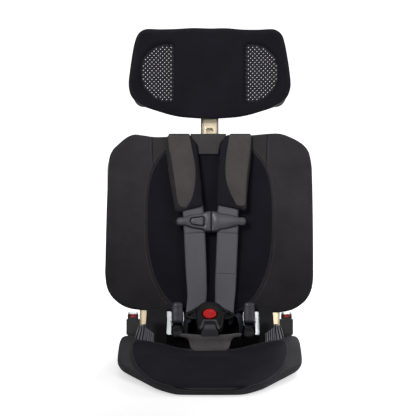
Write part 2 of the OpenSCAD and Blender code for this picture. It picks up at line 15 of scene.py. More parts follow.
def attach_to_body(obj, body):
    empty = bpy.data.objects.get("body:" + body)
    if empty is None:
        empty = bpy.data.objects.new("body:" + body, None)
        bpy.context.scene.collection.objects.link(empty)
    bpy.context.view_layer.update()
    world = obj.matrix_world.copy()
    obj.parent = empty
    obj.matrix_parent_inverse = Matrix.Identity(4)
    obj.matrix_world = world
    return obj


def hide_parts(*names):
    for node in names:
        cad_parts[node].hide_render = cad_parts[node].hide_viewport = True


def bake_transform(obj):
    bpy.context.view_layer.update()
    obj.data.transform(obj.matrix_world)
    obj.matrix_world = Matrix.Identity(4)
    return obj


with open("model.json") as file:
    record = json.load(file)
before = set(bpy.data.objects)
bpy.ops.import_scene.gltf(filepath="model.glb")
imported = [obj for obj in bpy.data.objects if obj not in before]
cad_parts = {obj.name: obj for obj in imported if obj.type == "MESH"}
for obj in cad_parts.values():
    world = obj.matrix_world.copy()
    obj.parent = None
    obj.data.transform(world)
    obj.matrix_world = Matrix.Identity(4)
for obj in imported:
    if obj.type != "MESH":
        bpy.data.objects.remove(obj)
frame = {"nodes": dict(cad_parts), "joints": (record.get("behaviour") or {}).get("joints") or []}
bpy.context.view_layer.update()
NODES = frame["nodes"]
JOINTS = {joint["name"]: joint for joint in frame["joints"]}
SCENE = bpy.context.scene
SCENE.view_settings.view_transform = "Standard"
SCENE.view_settings.look = "None"

SIDES = ((-1, "l", "left"), (1, "r", "right"))

# ---------------------------------------------------------------- Frames (mm in, metres out)
HINGE_Y, HINGE_Z = (JOINTS["seat_fold"]["pos_m"][axis] * 1000 for axis in (1, 2))
SIN_BACK, COS_BACK = JOINTS["headrest_height"]["axis"][1:3]
SIN_BUCKLE, COS_BUCKLE = JOINTS["tongue_left_release"]["axis"][1:3]
BUCKLE_FORWARD, BUCKLE_Z = 44, 53  # buckle origin: ahead of the hinge, above the floor
PAN_SLOPE = math.radians(5)
SIN_PAN, COS_PAN = math.sin(PAN_SLOPE), math.cos(PAN_SLOPE)
PAN_REACH, PAN_LIFT = 266, 7.5  # set the height of the pan's plane at the hinge
PAN_Z = PAN_REACH * SIN_PAN + PAN_LIFT * COS_PAN


def split(points):
    return np.moveaxis(np.asarray(points, float), -1, 0)


def metres(x, y, z):
    return np.stack([x, y, z], -1) / 1000


def on_back(points):
    """Backrest plane: x, depth behind the plane, rise up the recline."""
    x, depth, rise = split(points)
    return metres(x, HINGE_Y + depth * COS_BACK + rise * SIN_BACK,
                  HINGE_Z - depth * SIN_BACK + rise * COS_BACK)


def on_pan(points):
    """Seat pan: x, reach forward, height above the pan's plane."""
    x, reach, height = split(points)
    return metres(x, HINGE_Y - reach * COS_PAN - height * SIN_PAN,
                  PAN_Z - reach * SIN_PAN + height * COS_PAN)


def on_pan_cloth(points):
    """Seat pan with the columns in pillow order: x, height, reach."""
    x, height, reach = split(points)
    return on_pan(np.stack([x, reach, height], -1))


def on_buckle(points):
    """Buckle: x, y behind its plane, z up along it."""
    x, y, z = split(points)
    return metres(x, HINGE_Y - BUCKLE_FORWARD + y * COS_BUCKLE + z * SIN_BUCKLE,
                  BUCKLE_Z - y * SIN_BUCKLE + z * COS_BUCKLE)


def on_hinge(points):
    """Upright frame with its origin on the fold axis."""
    x, y, z = split(points)
    return metres(x, HINGE_Y + y, HINGE_Z + z)


def back_to_hinge(x, depth, rise):
    return (x, depth * COS_BACK + rise * SIN_BACK, -depth * SIN_BACK + rise * COS_BACK)


def pan_to_hinge(x, reach, height):
    x, y, z = on_pan((x, reach, height)) * 1000
    return (x, y - HINGE_Y, z - HINGE_Z)


def buckle_to_back(points):
    x, y, z = split(on_buckle(points) * 1000)
    y = y - HINGE_Y
    z = z - HINGE_Z
    return np.stack([x, y * COS_BACK - z * SIN_BACK, y * SIN_BACK + z * COS_BACK], -1)


def buckle_direction(x, z):
    """Unit vector, in backrest coordinates, of a direction in the buckle's plane."""
    start, end = buckle_to_back([(0, 0, 0), (x, 0, z)])
    return (end - start) / np.linalg.norm(end - start)


# ---------------------------------------------------------------- Height functions
def ease(x, low, high):
    """Smooth step from 0 at low to 1 at high."""
    part = np.clip((x - low) / (high - low), 0, 1)
    return part * part * (3 - 2 * part)


def bell(x, width):
    return np.exp(-(x / width) ** 2)


def round_edge(dist, width, height):
    """Quarter-round edge that reaches its height at a distance of width from the edge."""
    part = np.clip(dist / width, 0, 1)
    return height * np.sqrt(np.clip(1 - (1 - part) ** 2, 0, 1))


def value_noise(points, scale, seed):
    """Smooth repeatable noise on 2-D points, about -1..1."""
    points = np.asarray(points, float) / scale
    cell = np.floor(points).astype(np.int64)
    part = points - cell
    part = part * part * (3 - 2 * part)
    total = np.zeros(len(points))
    for corner in range(4):
        weight = np.ones(len(points))
        code = np.full(len(points), seed * 7919 + 17, np.int64)
        for axis in range(2):
            bit = (corner >> axis) & 1
            weight = weight * (part[:, axis] if bit else 1 - part[:, axis])
            code = (code * 1103515245 + (cell[:, axis] + bit) * 12345 + 7) & 0x7FFFFFFF
            code = (code ^ (code >> 13)) * 1274126177 & 0x7FFFFFFF
        total += weight * ((code & 0xFFFF) / 32767.5 - 1)
    return total


# ---------------------------------------------------------------- Outlines and curves
def mirror(points):
    """Points mirrored in x, in reverse order so that the outline keeps its direction."""
    return [(-x, y) for x, y in points[::-1]]


def both_halves(half):
    """Closed outline from its +X half, whose first and last points lie on x = 0."""
    return half + mirror(half[1:-1])


def rounded(corners, radii, steps=8):
    """Closed outline with rounded corners."""
    outline, count = [], len(corners)
    for i, radius in enumerate(radii):
        before, corner, after = (np.array(corners[j % count], float) for j in (i - 1, i, i + 1))
        if radius <= 0:
            outline.append(corner)
            continue
        back = (before - corner) / np.linalg.norm(before - corner)
        ahead = (after - corner) / np.linalg.norm(after - corner)
        half = math.acos(max(-1, min(1, float(back @ ahead)))) / 2
        run = radius / math.tan(half)
        bisector = (back + ahead) / np.linalg.norm(back + ahead)
        centre = corner + bisector * (radius / math.sin(half))
        start, end = corner + back * run, corner + ahead * run
        angle = math.atan2(start[1] - centre[1], start[0] - centre[0])
        turn = math.atan2(end[1] - centre[1], end[0] - centre[0]) - angle
        turn = (turn + math.pi) % (2 * math.pi) - math.pi
        for j in range(steps + 1):
            now = angle + turn * j / steps
            outline.append(centre + radius * np.array([math.cos(now), math.sin(now)]))
    return np.array(outline)


def ellipse(centre_z, radius_x, radius_z, count):
    return np.array([(radius_x * math.cos(angle), centre_z + radius_z * math.sin(angle))
                     for angle in np.linspace(0, 2 * math.pi, count, endpoint=False)])


def arc_length(points):
    return np.r_[0, np.cumsum(np.linalg.norm(np.diff(points, axis=0), axis=1))]


def points_at(points, run, wanted):
    return np.stack([np.interp(wanted, run, column) for column in points.T], -1)


def resample(outline, step):
    """Closed outline with evenly spaced points."""
    closed = np.vstack([outline, outline[:1]])
    run = arc_length(closed)
    count = max(4, int(round(run[-1] / step)))
    return points_at(closed, run, np.linspace(0, run[-1], count + 1)[:-1])


def smooth_loop(points, rounds):
    for _ in range(rounds):
        points = 0.5 * points + 0.25 * (np.roll(points, 1, 0) + np.roll(points, -1, 0))
    return points


def catmull_rom(before, start, end, after, steps):
    return [0.5 * (2 * start + (end - before) * part
                   + (2 * before - 5 * start + 4 * end - after) * part * part
                   + (3 * start - before - 3 * end + after) * part ** 3)
            for part in np.linspace(0, 1, steps, endpoint=False)]


def spline(knots, count):
    """Smooth open curve through the knots, with count evenly spaced points."""
    knots = np.asarray(knots, float)
    knots = np.vstack([2 * knots[0] - knots[1], knots, 2 * knots[-1] - knots[-2]])
    fine = []
    for i in range(1, len(knots) - 2):
        fine += catmull_rom(*knots[i - 1:i + 3], 24)
    fine = np.array(fine + [knots[-2]])
    run = arc_length(fine)
    return points_at(fine, run, np.linspace(0, run[-1], count))


def loop(knots, step):
    """Smooth closed outline through the knots, evenly spaced."""
    knots = np.asarray(knots, float)
    count = len(knots)
    fine = []
    for i in range(count):
        fine += catmull_rom(*(knots[(i + j) % count] for j in (-1, 0, 1, 2)), 16)
    return resample(np.array(fine), step)


def line(knots, step=3.0):
    """Smooth open line whose points are about step apart."""
    length = np.linalg.norm(np.diff(np.asarray(knots, float), axis=0), axis=1).sum()
    return spline(knots, max(3, int(length / step)))


def normals(spans, guard=1e-12):
    sideways = np.stack([-spans[:, 1], spans[:, 0]], 1)
    return sideways / (np.linalg.norm(sideways, axis=1)[:, None] + guard)


def nearest(points, chains):
    """Distance of each point to the closest segment of (starts, spans, guard) chains."""
    best = np.full(len(points), 1e9)
    for starts, spans, guard in chains:
        squares = (spans ** 2).sum(1) + guard
        for i in range(0, len(points), 4000):
            some = points[i:i + 4000]
            part = np.clip(((some[:, None] - starts) * spans).sum(2) / squares, 0, 1)
            gap = some[:, None] - (starts + part[..., None] * spans)
            best[i:i + 4000] = np.minimum(best[i:i + 4000], np.sqrt((gap ** 2).sum(2).min(1)))
    return best


def edge_distance(points, loops):
    return nearest(points, [(ring, np.roll(ring, -1, 0) - ring, 0) for ring in loops])


def line_distance(points, lines):
    return nearest(points, [(path[:-1], np.diff(path, axis=0), 1e-12) for path in lines])


def inside(points, outline):
    x, y = points[:, 0], points[:, 1]
    result = np.zeros(len(points), bool)
    for (x0, y0), (x1, y1) in zip(outline, np.roll(outline, -1, 0)):
        if abs(y1 - y0) < 1e-12:
            continue
        result ^= ((y0 > y) != (y1 > y)) & (x < (x1 - x0) * (y - y0) / (y1 - y0) + x0)
    return result


def inset(outline, gap):
    """Closed outline moved inwards."""
    sideways = normals(np.roll(outline, -1, 0) - np.roll(outline, 1, 0), guard=0)
    if not inside(outline[:1] + sideways[:1] * 2.0, outline)[0]:
        sideways = -sideways
    return smooth_loop(outline + sideways * gap, 2)


# ---------------------------------------------------------------- Mesh builders
def make(name, verts, faces, weave, look, to_world):
    """Smooth mesh from local vertices; weave holds the mm coordinates its material uses."""
    mesh = bpy.data.meshes.new(name)
    mesh.from_pydata([tuple(vert) for vert in to_world(verts)], [],
                     [tuple(int(i) for i in face) for face in faces])
    mesh.update()
    work = bmesh.new()
    work.from_mesh(mesh)
    bmesh.ops.recalc_face_normals(work, faces=work.faces)
    work.to_mesh(mesh)
    work.free()
    stored = mesh.attributes.new("uvm", "FLOAT_VECTOR", "POINT")
    stored.data.foreach_set("vector", np.asarray(weave, np.float32).ravel())
    mesh.polygons.foreach_set("use_smooth", [True] * len(mesh.polygons))
    obj = bpy.data.objects.new(name, mesh)
    SCENE.collection.objects.link(obj)
    for key in [look] if isinstance(look, str) else look:
        mesh.materials.append(LOOK[key])
    return obj


def join(name, parts):
    """One object from several; the parts are removed."""
    work = bmesh.new()
    materials = []
    for part in parts:
        slots = []
        for material in part.data.materials:
            if material not in materials:
                materials.append(material)
            slots.append(materials.index(material))
        first = len(work.faces)
        work.from_mesh(part.data)
        work.faces.ensure_lookup_table()
        for face in work.faces[first:]:
            face.material_index = slots[face.material_index]
    mesh = bpy.data.meshes.new(name)
    work.to_mesh(mesh)
    work.free()
    for material in materials:
        mesh.materials.append(material)
    joined = bpy.data.objects.new(name, mesh)
    SCENE.collection.objects.link(joined)
    for part in parts:
        bpy.data.objects.remove(part)
    return joined


def attach(obj, part, replaces=None):
    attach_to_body(obj, part)
    if replaces:
        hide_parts(replaces)


def sheet(outline, holes, step, rings, seams=()):
    """Triangulated flat region: points, triangles and each point's distance to the edge.

    Rows of points follow the edges at the ring distances; seams are kept as mesh edges.
    """
    loops = [outline, *holes]
    border = np.vstack(loops)

    def in_region(points):
        result = inside(points, outline)
        for hole in holes:
            result &= ~inside(points, hole)
        return result

    beside = [np.zeros((0, 2))]
    for seam in seams:
        sideways = normals(np.gradient(seam, axis=0))
        beside += [seam + sideways * gap for gap in (-3.2, -1.5, 1.5, 3.2)]
    beside = np.vstack(beside)
    beside = beside[(line_distance(beside, seams) > 1.3) & in_region(beside)
                    & (edge_distance(beside, loops) > 1.2)]

    rows = []
    for ring in loops:
        sideways = normals(np.roll(ring, -1, 0) - np.roll(ring, 1, 0))
        for gap in rings:
            for sign in (1, -1):
                rows.append(np.c_[ring + sideways * gap * sign, np.full(len(ring), gap)])
    rows = np.vstack(rows)
    far = edge_distance(rows[:, :2], loops) > rows[:, 2] * 0.97
    rows = rows[far & in_region(rows)][:, :2]
    # Keep one point per small cell, so that crowded rows thin out.
    rows = rows[np.lexsort((rows[:, 1], rows[:, 0]))]
    taken, kept = set(), []
    for i, point in enumerate(rows):
        cell = (round(point[0] / 0.55), round(point[1] / 0.55))
        if cell not in taken:
            taken.add(cell)
            kept.append(i)
    rows = rows[kept]
    rows = rows[line_distance(rows, seams) > 0.9]

    low, high = outline.min(0), outline.max(0)
    grid_x, grid_y = np.meshgrid(np.arange(low[0], high[0], step),
                                 np.arange(low[1], high[1], step * 0.866))
    grid_x = grid_x + (np.arange(grid_x.shape[0]) % 2)[:, None] * step / 2
    grid = np.stack([grid_x.ravel(), grid_y.ravel()], 1)
    grid = grid[(edge_distance(grid, loops) > max(rings) + step * 0.45) & in_region(grid)
                & (line_distance(grid, seams) > 3.2 + step * 0.35)]

    edges, first = [], 0
    for ring in loops:
        count = len(ring)
        edges += [(first + i, first + (i + 1) % count) for i in range(count)]
        first += count
    first = len(border) + len(rows) + len(grid) + len(beside)
    for seam in seams:
        edges += [(first + i, first + i + 1) for i in range(len(seam) - 1)]
        first += len(seam)
    points = np.vstack([border, rows, grid, beside, *seams])
    verts, _, faces, *_ = geometry.delaunay_2d_cdt(
        [Vector(point) for point in points], edges, [], 0, 1e-5)
    verts = np.array([tuple(vert) for vert in verts])
    faces = np.array([face for face in faces if len(face) == 3])
    faces = faces[in_region(verts[faces].mean(1))]
    used, flat = np.unique(faces, return_inverse=True)
    verts = verts[used]
    return verts, flat.reshape(faces.shape), edge_distance(verts, loops)


def pillow(name, outline, look, mid, front, rear, to_world, step,
           rings=(0.8, 2.0, 4.0, 7.0), holes=(), seams=(), region=None, rear_look=None):
    """Closed soft solid. mid(points) is the middle depth; front and rear(points, dist) are the
    heights on either side of it. region(centres) picks each face's material slot."""
    flat, faces, dist = sheet(outline, holes, step, rings, seams)
    edge = dist < 1e-4
    middle = mid(flat)
    ahead, behind = front(flat, dist), rear(flat, dist)
    ahead[edge] = 0
    behind[edge] = 0
    inner = np.where(~edge)[0]
    rear_index = np.arange(len(flat))
    rear_index[inner] = len(flat) + np.arange(len(inner))
    verts = np.vstack([np.c_[flat[:, 0], middle - ahead, flat[:, 1]],
                       np.c_[flat[inner, 0], (middle + behind)[inner], flat[inner, 1]]])
    obj = make(name, verts, np.vstack([faces, rear_index[faces][:, ::-1]]),
               verts[:, [0, 2, 1]], look, to_world)
    if region is not None:
        slots = region(flat[faces].mean(1))
        rear_slots = slots if rear_look is None else np.full(len(faces), rear_look)
        both = np.r_[slots, rear_slots].astype(np.int32)
        obj.data.polygons.foreach_set("material_index", both)
    return obj


def block(name, outline, depth, look, to_world, radius, step,
          holes=(), hole_step=1.0, relief=None):
    """Moulded part: an outline in x and z, extruded over depth (front, back), with rounded
    front and back edges. relief(x, z, dist) raises the front face."""
    middle, half = sum(depth) / 2, (depth[1] - depth[0]) / 2
    wall = max(half - radius, 0.05)
    flat, faces, dist = sheet(resample(outline, step * 0.7),
                              [resample(hole, hole_step) for hole in holes], step,
                              (radius * 0.15, radius * 0.4, radius * 0.7, radius))
    edge = dist < 1e-4
    curve = np.where(edge, 0, round_edge(dist, radius, radius))
    ahead = curve
    if relief is not None:
        ahead = ahead + np.where(edge, 0, relief(flat[:, 0], flat[:, 1], dist))
    verts = np.vstack([np.c_[flat[:, 0], middle - wall - ahead, flat[:, 1]],
                       np.c_[flat[:, 0], middle + wall + curve, flat[:, 1]]])
    shift = len(flat)
    solid = [tuple(face) for face in faces]
    solid += [tuple(int(i) + shift for i in face[::-1]) for face in faces]
    # Edges used by only one triangle carry the side wall.
    shared = {}
    for one, two, three in faces:
        for start, end in ((one, two), (two, three), (three, one)):
            shared.setdefault((min(start, end), max(start, end)), []).append((start, end))
    for uses in shared.values():
        if len(uses) == 1:
            start, end = uses[0]
            solid.append((start, start + shift, end + shift, end))
    return make(name, verts, solid, verts[:, [0, 2, 1]], look, to_world)


def tube_faces(rings, sides, closed=False, first=0):
    """Faces of a tube of vertex rings, either closed on itself or capped at both ends."""
    faces = []
    for i in range(rings if closed else rings - 1):
        here, there = first + i * sides, first + (i + 1) % rings * sides
        for j in range(sides):
            k = (j + 1) % sides
            faces.append((here + j, here + k, there + k, there + j))
    if not closed:
        last = first + (rings - 1) * sides
        faces.append(tuple(range(first, first + sides)))
        faces.append(tuple(range(last, last + sides))[::-1])
    return faces


def tape(name, path, across, width, look, to_world, thick=1.5, taper=None):
    """Flat webbing along a path. across is its width direction, one vector or one per point;
    taper(0..1) scales the width along it."""
    path = np.asarray(path, float)
    count = len(path)
    along = np.gradient(path, axis=0)
    along /= np.linalg.norm(along, axis=1)[:, None]
    across = np.broadcast_to(np.asarray(across, float), (count, 3))
    across = across - (across * along).sum(1)[:, None] * along
    across /= np.linalg.norm(across, axis=1)[:, None]
    normal = np.cross(along, across)
    run = arc_length(path)
    # Cross-section: out over one face and back over the other, thinner at the long edges.
    section = []
    for face, row in ((1.0, np.linspace(-1, 1, 11)), (-1.0, np.linspace(1, -1, 11))):
        for side in row:
            bulge = math.sqrt(max(0.0, 1 - max(0, abs(side) - 0.9) ** 2 / 0.01))
            section.append((side, face * (0.25 + 0.75 * bulge)))
    verts, weave = [], []
    for i in range(count):
        wide = width if taper is None else taper(run[i] / run[-1]) * width
        for side, lift in section:
            verts.append(path[i] + across[i] * (side * wide / 2) + normal[i] * (lift * thick / 2))
            weave.append((side * wide / 2, run[i], lift))
    return make(name, np.array(verts), tube_faces(count, len(section)), weave, look, to_world)


def cord(name, outline, depth, radius, look, to_world):
    """Closed round cord along an outline, at depth(points)."""
    centre = np.c_[outline[:, 0], depth(outline), outline[:, 1]]
    along = np.roll(centre, -1, 0) - np.roll(centre, 1, 0)
    along /= np.linalg.norm(along, axis=1)[:, None]
    side = np.cross(along, [0, 1, 0])
    side /= np.linalg.norm(side, axis=1)[:, None]
    normal = np.cross(along, side)
    count, sides = len(outline), 8
    angle = np.linspace(0, 2 * math.pi, sides, endpoint=False)
    verts = (centre[:, None] + radius * (side[:, None] * np.cos(angle)[None, :, None]
                                         + normal[:, None] * np.sin(angle)[None, :, None]))
    weave = np.c_[np.tile(angle * radius, count), np.repeat(arc_length(centre), sides),
                  np.zeros(count * sides)]
    return make(name, verts.reshape(-1, 3), tube_faces(count, sides, closed=True), weave,
                look, to_world)


def quilt(name, first, last, thick, look, columns, rows, sag, ribs=0, rib_height=0):
    """Closed cloth between two curves in the hinge frame, optionally gathered into ribs."""
    share = np.linspace(0, 1, columns)

    def spread(curve):
        curve = np.asarray(curve, float)
        return points_at(curve, np.linspace(0, 1, len(curve)), share)

    first, last = spread(first), spread(last)
    down = np.linspace(0, 1, rows)[:, None]
    flat = first * (1 - down[..., None]) + last * down[..., None]
    normal = np.cross(np.gradient(flat, axis=1), np.gradient(flat, axis=0))
    normal /= np.linalg.norm(normal, axis=2)[..., None] + 1e-9
    if normal[rows // 2, columns // 2, 1] > 0:
        normal = -normal
    rib = np.zeros((rows, columns))
    if ribs:
        wave = np.cos(share * ribs * math.pi + 0.35 * np.sin(down * 5))
        rib = 1.9 * np.abs(wave) ** 0.8 - 0.9
        rib = rib * (0.75 + 0.25 * np.sin(share * ribs * 1.7 + 1))
    swell = (np.sin(np.clip(down, 0.02, 0.98) * math.pi) ** 0.5)[..., None]
    lift = normal * (rib[..., None] * rib_height * (0.6 + 0.4 * swell) + sag * swell)
    top = flat + lift + normal * thick / 2
    bottom = flat + lift - normal * thick / 2
    verts = np.concatenate([top.reshape(-1, 3), bottom.reshape(-1, 3)])
    under = columns * rows
    faces = []
    for i in range(rows - 1):
        for j in range(columns - 1):
            here = i * columns + j
            below = here + columns
            faces += [(here, here + 1, below + 1, below),
                      (under + below, under + below + 1, under + here + 1, under + here)]
    end = (rows - 1) * columns
    for j in range(columns - 1):
        faces += [(j, under + j, under + j + 1, j + 1),
                  (end + j + 1, under + end + j + 1, under + end + j, end + j)]
    for i in range(rows - 1):
        here, below = i * columns, (i + 1) * columns
        side, side_below = here + columns - 1, below + columns - 1
        faces += [(here, below, under + below, under + here),
                  (side, under + side, under + side_below, side_below)]
    length = np.linalg.norm(first[-1] - first[0])
    drop = np.linalg.norm(last.mean(0) - first.mean(0))
    weave = np.stack(np.broadcast_arrays(share[None] * length, down * drop,
                                         np.zeros((rows, columns))), -1).reshape(-1, 3)
    obj = make(name, verts, faces, np.concatenate([weave, weave]), look, on_hinge)
    if ribs:
        # The valleys between the ribs get a darker cloth: painted shade in the creases.
        obj.data.materials.append(LOOK["rib_valley_shade"])
        for i in range(rows - 1):
            for j in range(columns - 1):
                if rib[i, j] < 0.22:
                    cell = 2 * (i * (columns - 1) + j)
                    obj.data.polygons[cell].material_index = 1
                    obj.data.polygons[cell + 1].material_index = 1
    return obj


# ---------------------------------------------------------------- Shader building
class Shader:
    """A principled material under construction, with short calls for its nodes."""

    def __init__(self, name):
        self.material = bpy.data.materials.new(name)
        self.material.use_nodes = True
        self.tree = self.material.node_tree
        self.tree.nodes.clear()
        output = self.new("ShaderNodeOutputMaterial")
        self.surface = self.new("ShaderNodeBsdfPrincipled")
        self.put(output.inputs[0], self.surface.outputs[0])

    def new(self, kind, **settings):
        node = self.tree.nodes.new(kind)
        for key, value in settings.items():
            setattr(node, key, value)
        return node

    def put(self, socket, value):
        if isinstance(value, bpy.types.NodeSocket):
            self.tree.links.new(value, socket)
        else:
            socket.default_value = value

    def math(self, operation, first, second=0.0, third=0.0):
        node = self.new("ShaderNodeMath", operation=operation)
        for socket, value in zip(node.inputs, (first, second, third)):
            self.put(socket, value)
        return node.outputs[0]

    def times(self, first, second):
        return self.math("MULTIPLY", first, second)

    def plus(self, first, second):
        return self.math("ADD", first, second)

    def minus(self, first, second):
        return self.math("SUBTRACT", first, second)

    def size(self, value):
        return self.math("ABSOLUTE", value)

    def scaled(self, value, gain, offset):
        return self.math("MULTIPLY_ADD", value, gain, offset)

    def step(self, value, low, high):
        node = self.new("ShaderNodeMapRange", interpolation_type="SMOOTHSTEP")
        self.put(node.inputs["Value"], value)
        self.put(node.inputs["From Min"], low)
        self.put(node.inputs["From Max"], high)
        return node.outputs[0]

    def fall(self, value, low, high):
        return self.minus(1.0, self.step(value, low, high))

    def mix(self, factor, first, second):
        node = self.new("ShaderNodeMix", data_type="RGBA")
        for index, value in ((0, factor), (6, first), (7, second)):
            self.put(node.inputs[index], value)
        return node.outputs[2]

    def noise(self, coords, scale, detail=2.0, rough=0.5):
        node = self.new("ShaderNodeTexNoise")
        self.put(node.inputs["Vector"], coords)
        self.put(node.inputs["Scale"], scale)
        self.put(node.inputs["Detail"], detail)
        self.put(node.inputs["Roughness"], rough)
        return node.outputs[0]

    def wave(self, value, period):
        """Cosine between 0 and 1."""
        angle = self.scaled(value, gain=2 * math.pi / period, offset=0.0)
        return self.scaled(self.math("COSINE", angle), gain=0.5, offset=0.5)

    def stored_coords(self):
        """The mm coordinates kept on the mesh."""
        return self.new("ShaderNodeAttribute", attribute_name="uvm").outputs["Vector"]

    def object_coords(self, scale=1000.0):
        """Object coordinates, in mm unless another scale is given."""
        source = self.new("ShaderNodeTexCoord")
        node = self.new("ShaderNodeVectorMath", operation="SCALE")
        self.put(node.inputs[0], source.outputs["Object"])
        self.put(node.inputs["Scale"], scale)
        return node.outputs[0]

    def axes(self, coords):
        node = self.new("ShaderNodeSeparateXYZ")
        self.put(node.inputs[0], coords)
        return node.outputs

    def bump(self, height, strength, distance):
        node = self.new("ShaderNodeBump")
        self.put(node.inputs["Height"], height)
        self.put(node.inputs["Strength"], strength)
        self.put(node.inputs["Distance"], distance)
        self.put(self.surface.inputs["Normal"], node.outputs[0])

    def finish(self, settings):
        for key, value in settings.items():
            self.put(self.surface.inputs[key], value)
        return self.material


def linear(*rgb):
    """8-bit sRGB to linear RGBA."""
    return tuple(level / 255 / 12.92 if level / 255 <= 0.04045
                 else ((level / 255 + 0.055) / 1.055) ** 2.4 for level in rgb) + (1.0,)


def shade(color, gain, lift=0.0):
    return tuple(min(1, level * gain + lift) for level in color[:3]) + (1,)


def fabric(name, dark, light, weave=0.9, masks=None):
    """Plain woven melange cloth. masks(shader, x, y) gives (factor, colour) layers."""
    shader = Shader(name)
    coords = shader.stored_coords()
    x, y, _ = shader.axes(coords)
    warp = shader.wave(x, period=weave)
    weft = shader.wave(y, period=weave)
    threads = shader.plus(shader.times(warp, weft),
                          shader.times(shader.minus(1.0, warp), shader.minus(1.0, weft)))
    broad = shader.noise(coords, scale=0.02, detail=3, rough=0.55)
    fine = shader.noise(coords, scale=1.3, detail=2, rough=0.6)
    mottle = shader.scaled(fine, gain=0.7, offset=shader.times(broad, 0.5))
    color = shader.mix(shader.step(mottle, low=0.42, high=0.78), linear(*dark), linear(*light))
    for factor, tint in masks(shader, x, y) if masks else ():
        color = shader.mix(factor, color, tint)
    height = shader.scaled(threads, gain=0.6, offset=shader.times(fine, 0.7))
    shader.bump(height, strength=0.55, distance=0.0004)
    return shader.finish({
        "Base Color": color,
        "Roughness": shader.scaled(fine, gain=0.15, offset=0.8),
        "Sheen Weight": 0.05,
        "Sheen Roughness": 0.45,
        "Sheen Tint": (0.75, 0.75, 0.8, 1),
        "Specular IOR Level": 0.08,
    })


def knit(name, yarn, hole, pitch):
    """Knitted spacer mesh: a diamond lattice of yarn round small dark cells."""
    shader = Shader(name)
    yarn = linear(*yarn)
    coords = shader.stored_coords()
    x, y, _ = shader.axes(coords)
    wobble = shader.scaled(shader.noise(coords, scale=0.12), gain=1.2, offset=x)
    cells = shader.times(shader.wave(shader.plus(wobble, y), period=pitch),
                         shader.wave(shader.minus(wobble, y), period=pitch))
    gaps = shader.step(cells, low=0.30, high=0.62)
    fine = shader.noise(coords, scale=1.6, detail=2, rough=0.6)
    broad = shader.noise(coords, scale=0.018, detail=3)
    mottle = shader.scaled(fine, gain=0.6, offset=shader.times(broad, 0.5))
    color = shader.mix(shader.step(mottle, low=0.35, high=0.75), yarn, shade(yarn, gain=1.75))
    height = shader.minus(shader.times(fine, 0.25), shader.times(gaps, 1.0))
    shader.bump(height, strength=0.7, distance=0.0006)
    return shader.finish({
        "Base Color": shader.mix(gaps, color, linear(*hole)),
        "Roughness": shader.scaled(gaps, gain=0.1, offset=0.8),
        "Sheen Weight": 0.02,
        "Sheen Roughness": 0.5,
        "Sheen Tint": (0.6, 0.62, 0.8, 1),
        "Specular IOR Level": 0.08,
    })


def webbing(name, dark, light):
    """Woven tape with a chevron; x runs across it and y along it."""
    shader = Shader(name)
    dark = linear(*dark)
    coords = shader.stored_coords()
    x, y, _ = shader.axes(coords)
    chevron = shader.wave(shader.plus(shader.times(shader.size(x), 0.9), y), period=2.2)
    rows = shader.wave(x, period=1.9)
    fine = shader.noise(coords, scale=1.5)
    edge = shader.step(shader.size(x), low=16.6, high=17.6)
    tone = shader.scaled(chevron, gain=0.45, offset=shader.times(fine, 0.6))
    body = shader.mix(tone, dark, linear(*light))
    height = shader.plus(shader.times(chevron, 0.6), shader.times(rows, 0.4))
    shader.bump(height, strength=0.5, distance=0.0004)
    return shader.finish({
        "Base Color": shader.mix(shader.times(edge, 0.45), body, shade(dark, gain=0.6)),
        "Roughness": shader.scaled(chevron, gain=0.12, offset=0.5),
        "Specular IOR Level": 0.18,
        "Sheen Weight": 0.04,
        "Sheen Roughness": 0.4,
    })


def plastic(name, color, rough=0.45, grain=1.0, spec=0.5, stored=False):
    """Finely grained plastic, on stored or object coordinates."""
    shader = Shader(name)
    color = linear(*color)
    coords = shader.stored_coords() if stored else shader.object_coords()
    fine = shader.noise(coords, scale=1.1 * grain, detail=3, rough=0.6)
    broad = shader.noise(coords, scale=0.05, detail=3)
    shader.bump(fine, strength=0.16, distance=0.0003)
    return shader.finish({
        "Base Color": shader.mix(shader.step(broad, low=0.3, high=0.75), color,
                                 shade(color, gain=1.18, lift=0.001)),
        "Roughness": shader.scaled(shader.plus(fine, broad), gain=0.12, offset=rough - 0.1),
        "Specular IOR Level": spec,
    })


def metal(name, color, rough, brush=(0.06, 2.5, 0.06), painted_edge_shade=None):
    """Brushed metal; brush scales the streaks per axis. The last argument, (low, high, centre,
    amount, both), paints shade: it darkens the colour at a distance low..high from x = centre, or
    from both +-centre, as a dark reflection on rounded edges."""
    shader = Shader(name)
    color = linear(*color)
    coords = shader.object_coords()
    stretch = shader.new("ShaderNodeVectorMath", operation="MULTIPLY")
    shader.put(stretch.inputs[0], coords)
    shader.put(stretch.inputs[1], brush)
    streak = shader.noise(stretch.outputs[0], scale=1.0, detail=4, rough=0.6)
    broad = shader.noise(coords, scale=0.03, detail=3)
    tone = shader.mix(shader.step(broad, low=0.3, high=0.7), color, shade(color, gain=1.12))
    tone = shader.mix(shader.times(shader.step(streak, low=0.45, high=0.8), 0.1), tone,
                      shade(color, gain=1.25))
    # Painted shade: the colour darkens away from the centre line, a painted dark reflection on
    # the rounded edges that leaves a brighter middle band.
    if painted_edge_shade:
        low, high, centre, amount, both = painted_edge_shade
        x = shader.axes(coords)[0]
        offset = shader.size(shader.minus(shader.size(x) if both else x, centre))
        dark = shader.times(shader.step(offset, low, high), amount)
        tone = shader.mix(dark, tone, shade(color, gain=0.10))
    shader.bump(streak, strength=0.03, distance=0.0002)
    return shader.finish({
        "Base Color": tone,
        "Metallic": 0.5,
        "Roughness": shader.scaled(streak, gain=0.08, offset=rough - 0.03),
    })


# ---------------------------------------------------------------- Materials
# Oval opening of the backrest, a superellipse with a different reach and power up and down.
OVAL_RISE, OVAL_HALF = 190, 113
OVAL_UP, OVAL_UP_POWER = 142.0, 3.0
OVAL_DOWN, OVAL_DOWN_POWER = 172.0, 2.4

STITCH = 4.2  # stitch pitch, mm
NEAR_BLACK = (0.003, 0.003, 0.0035, 1)


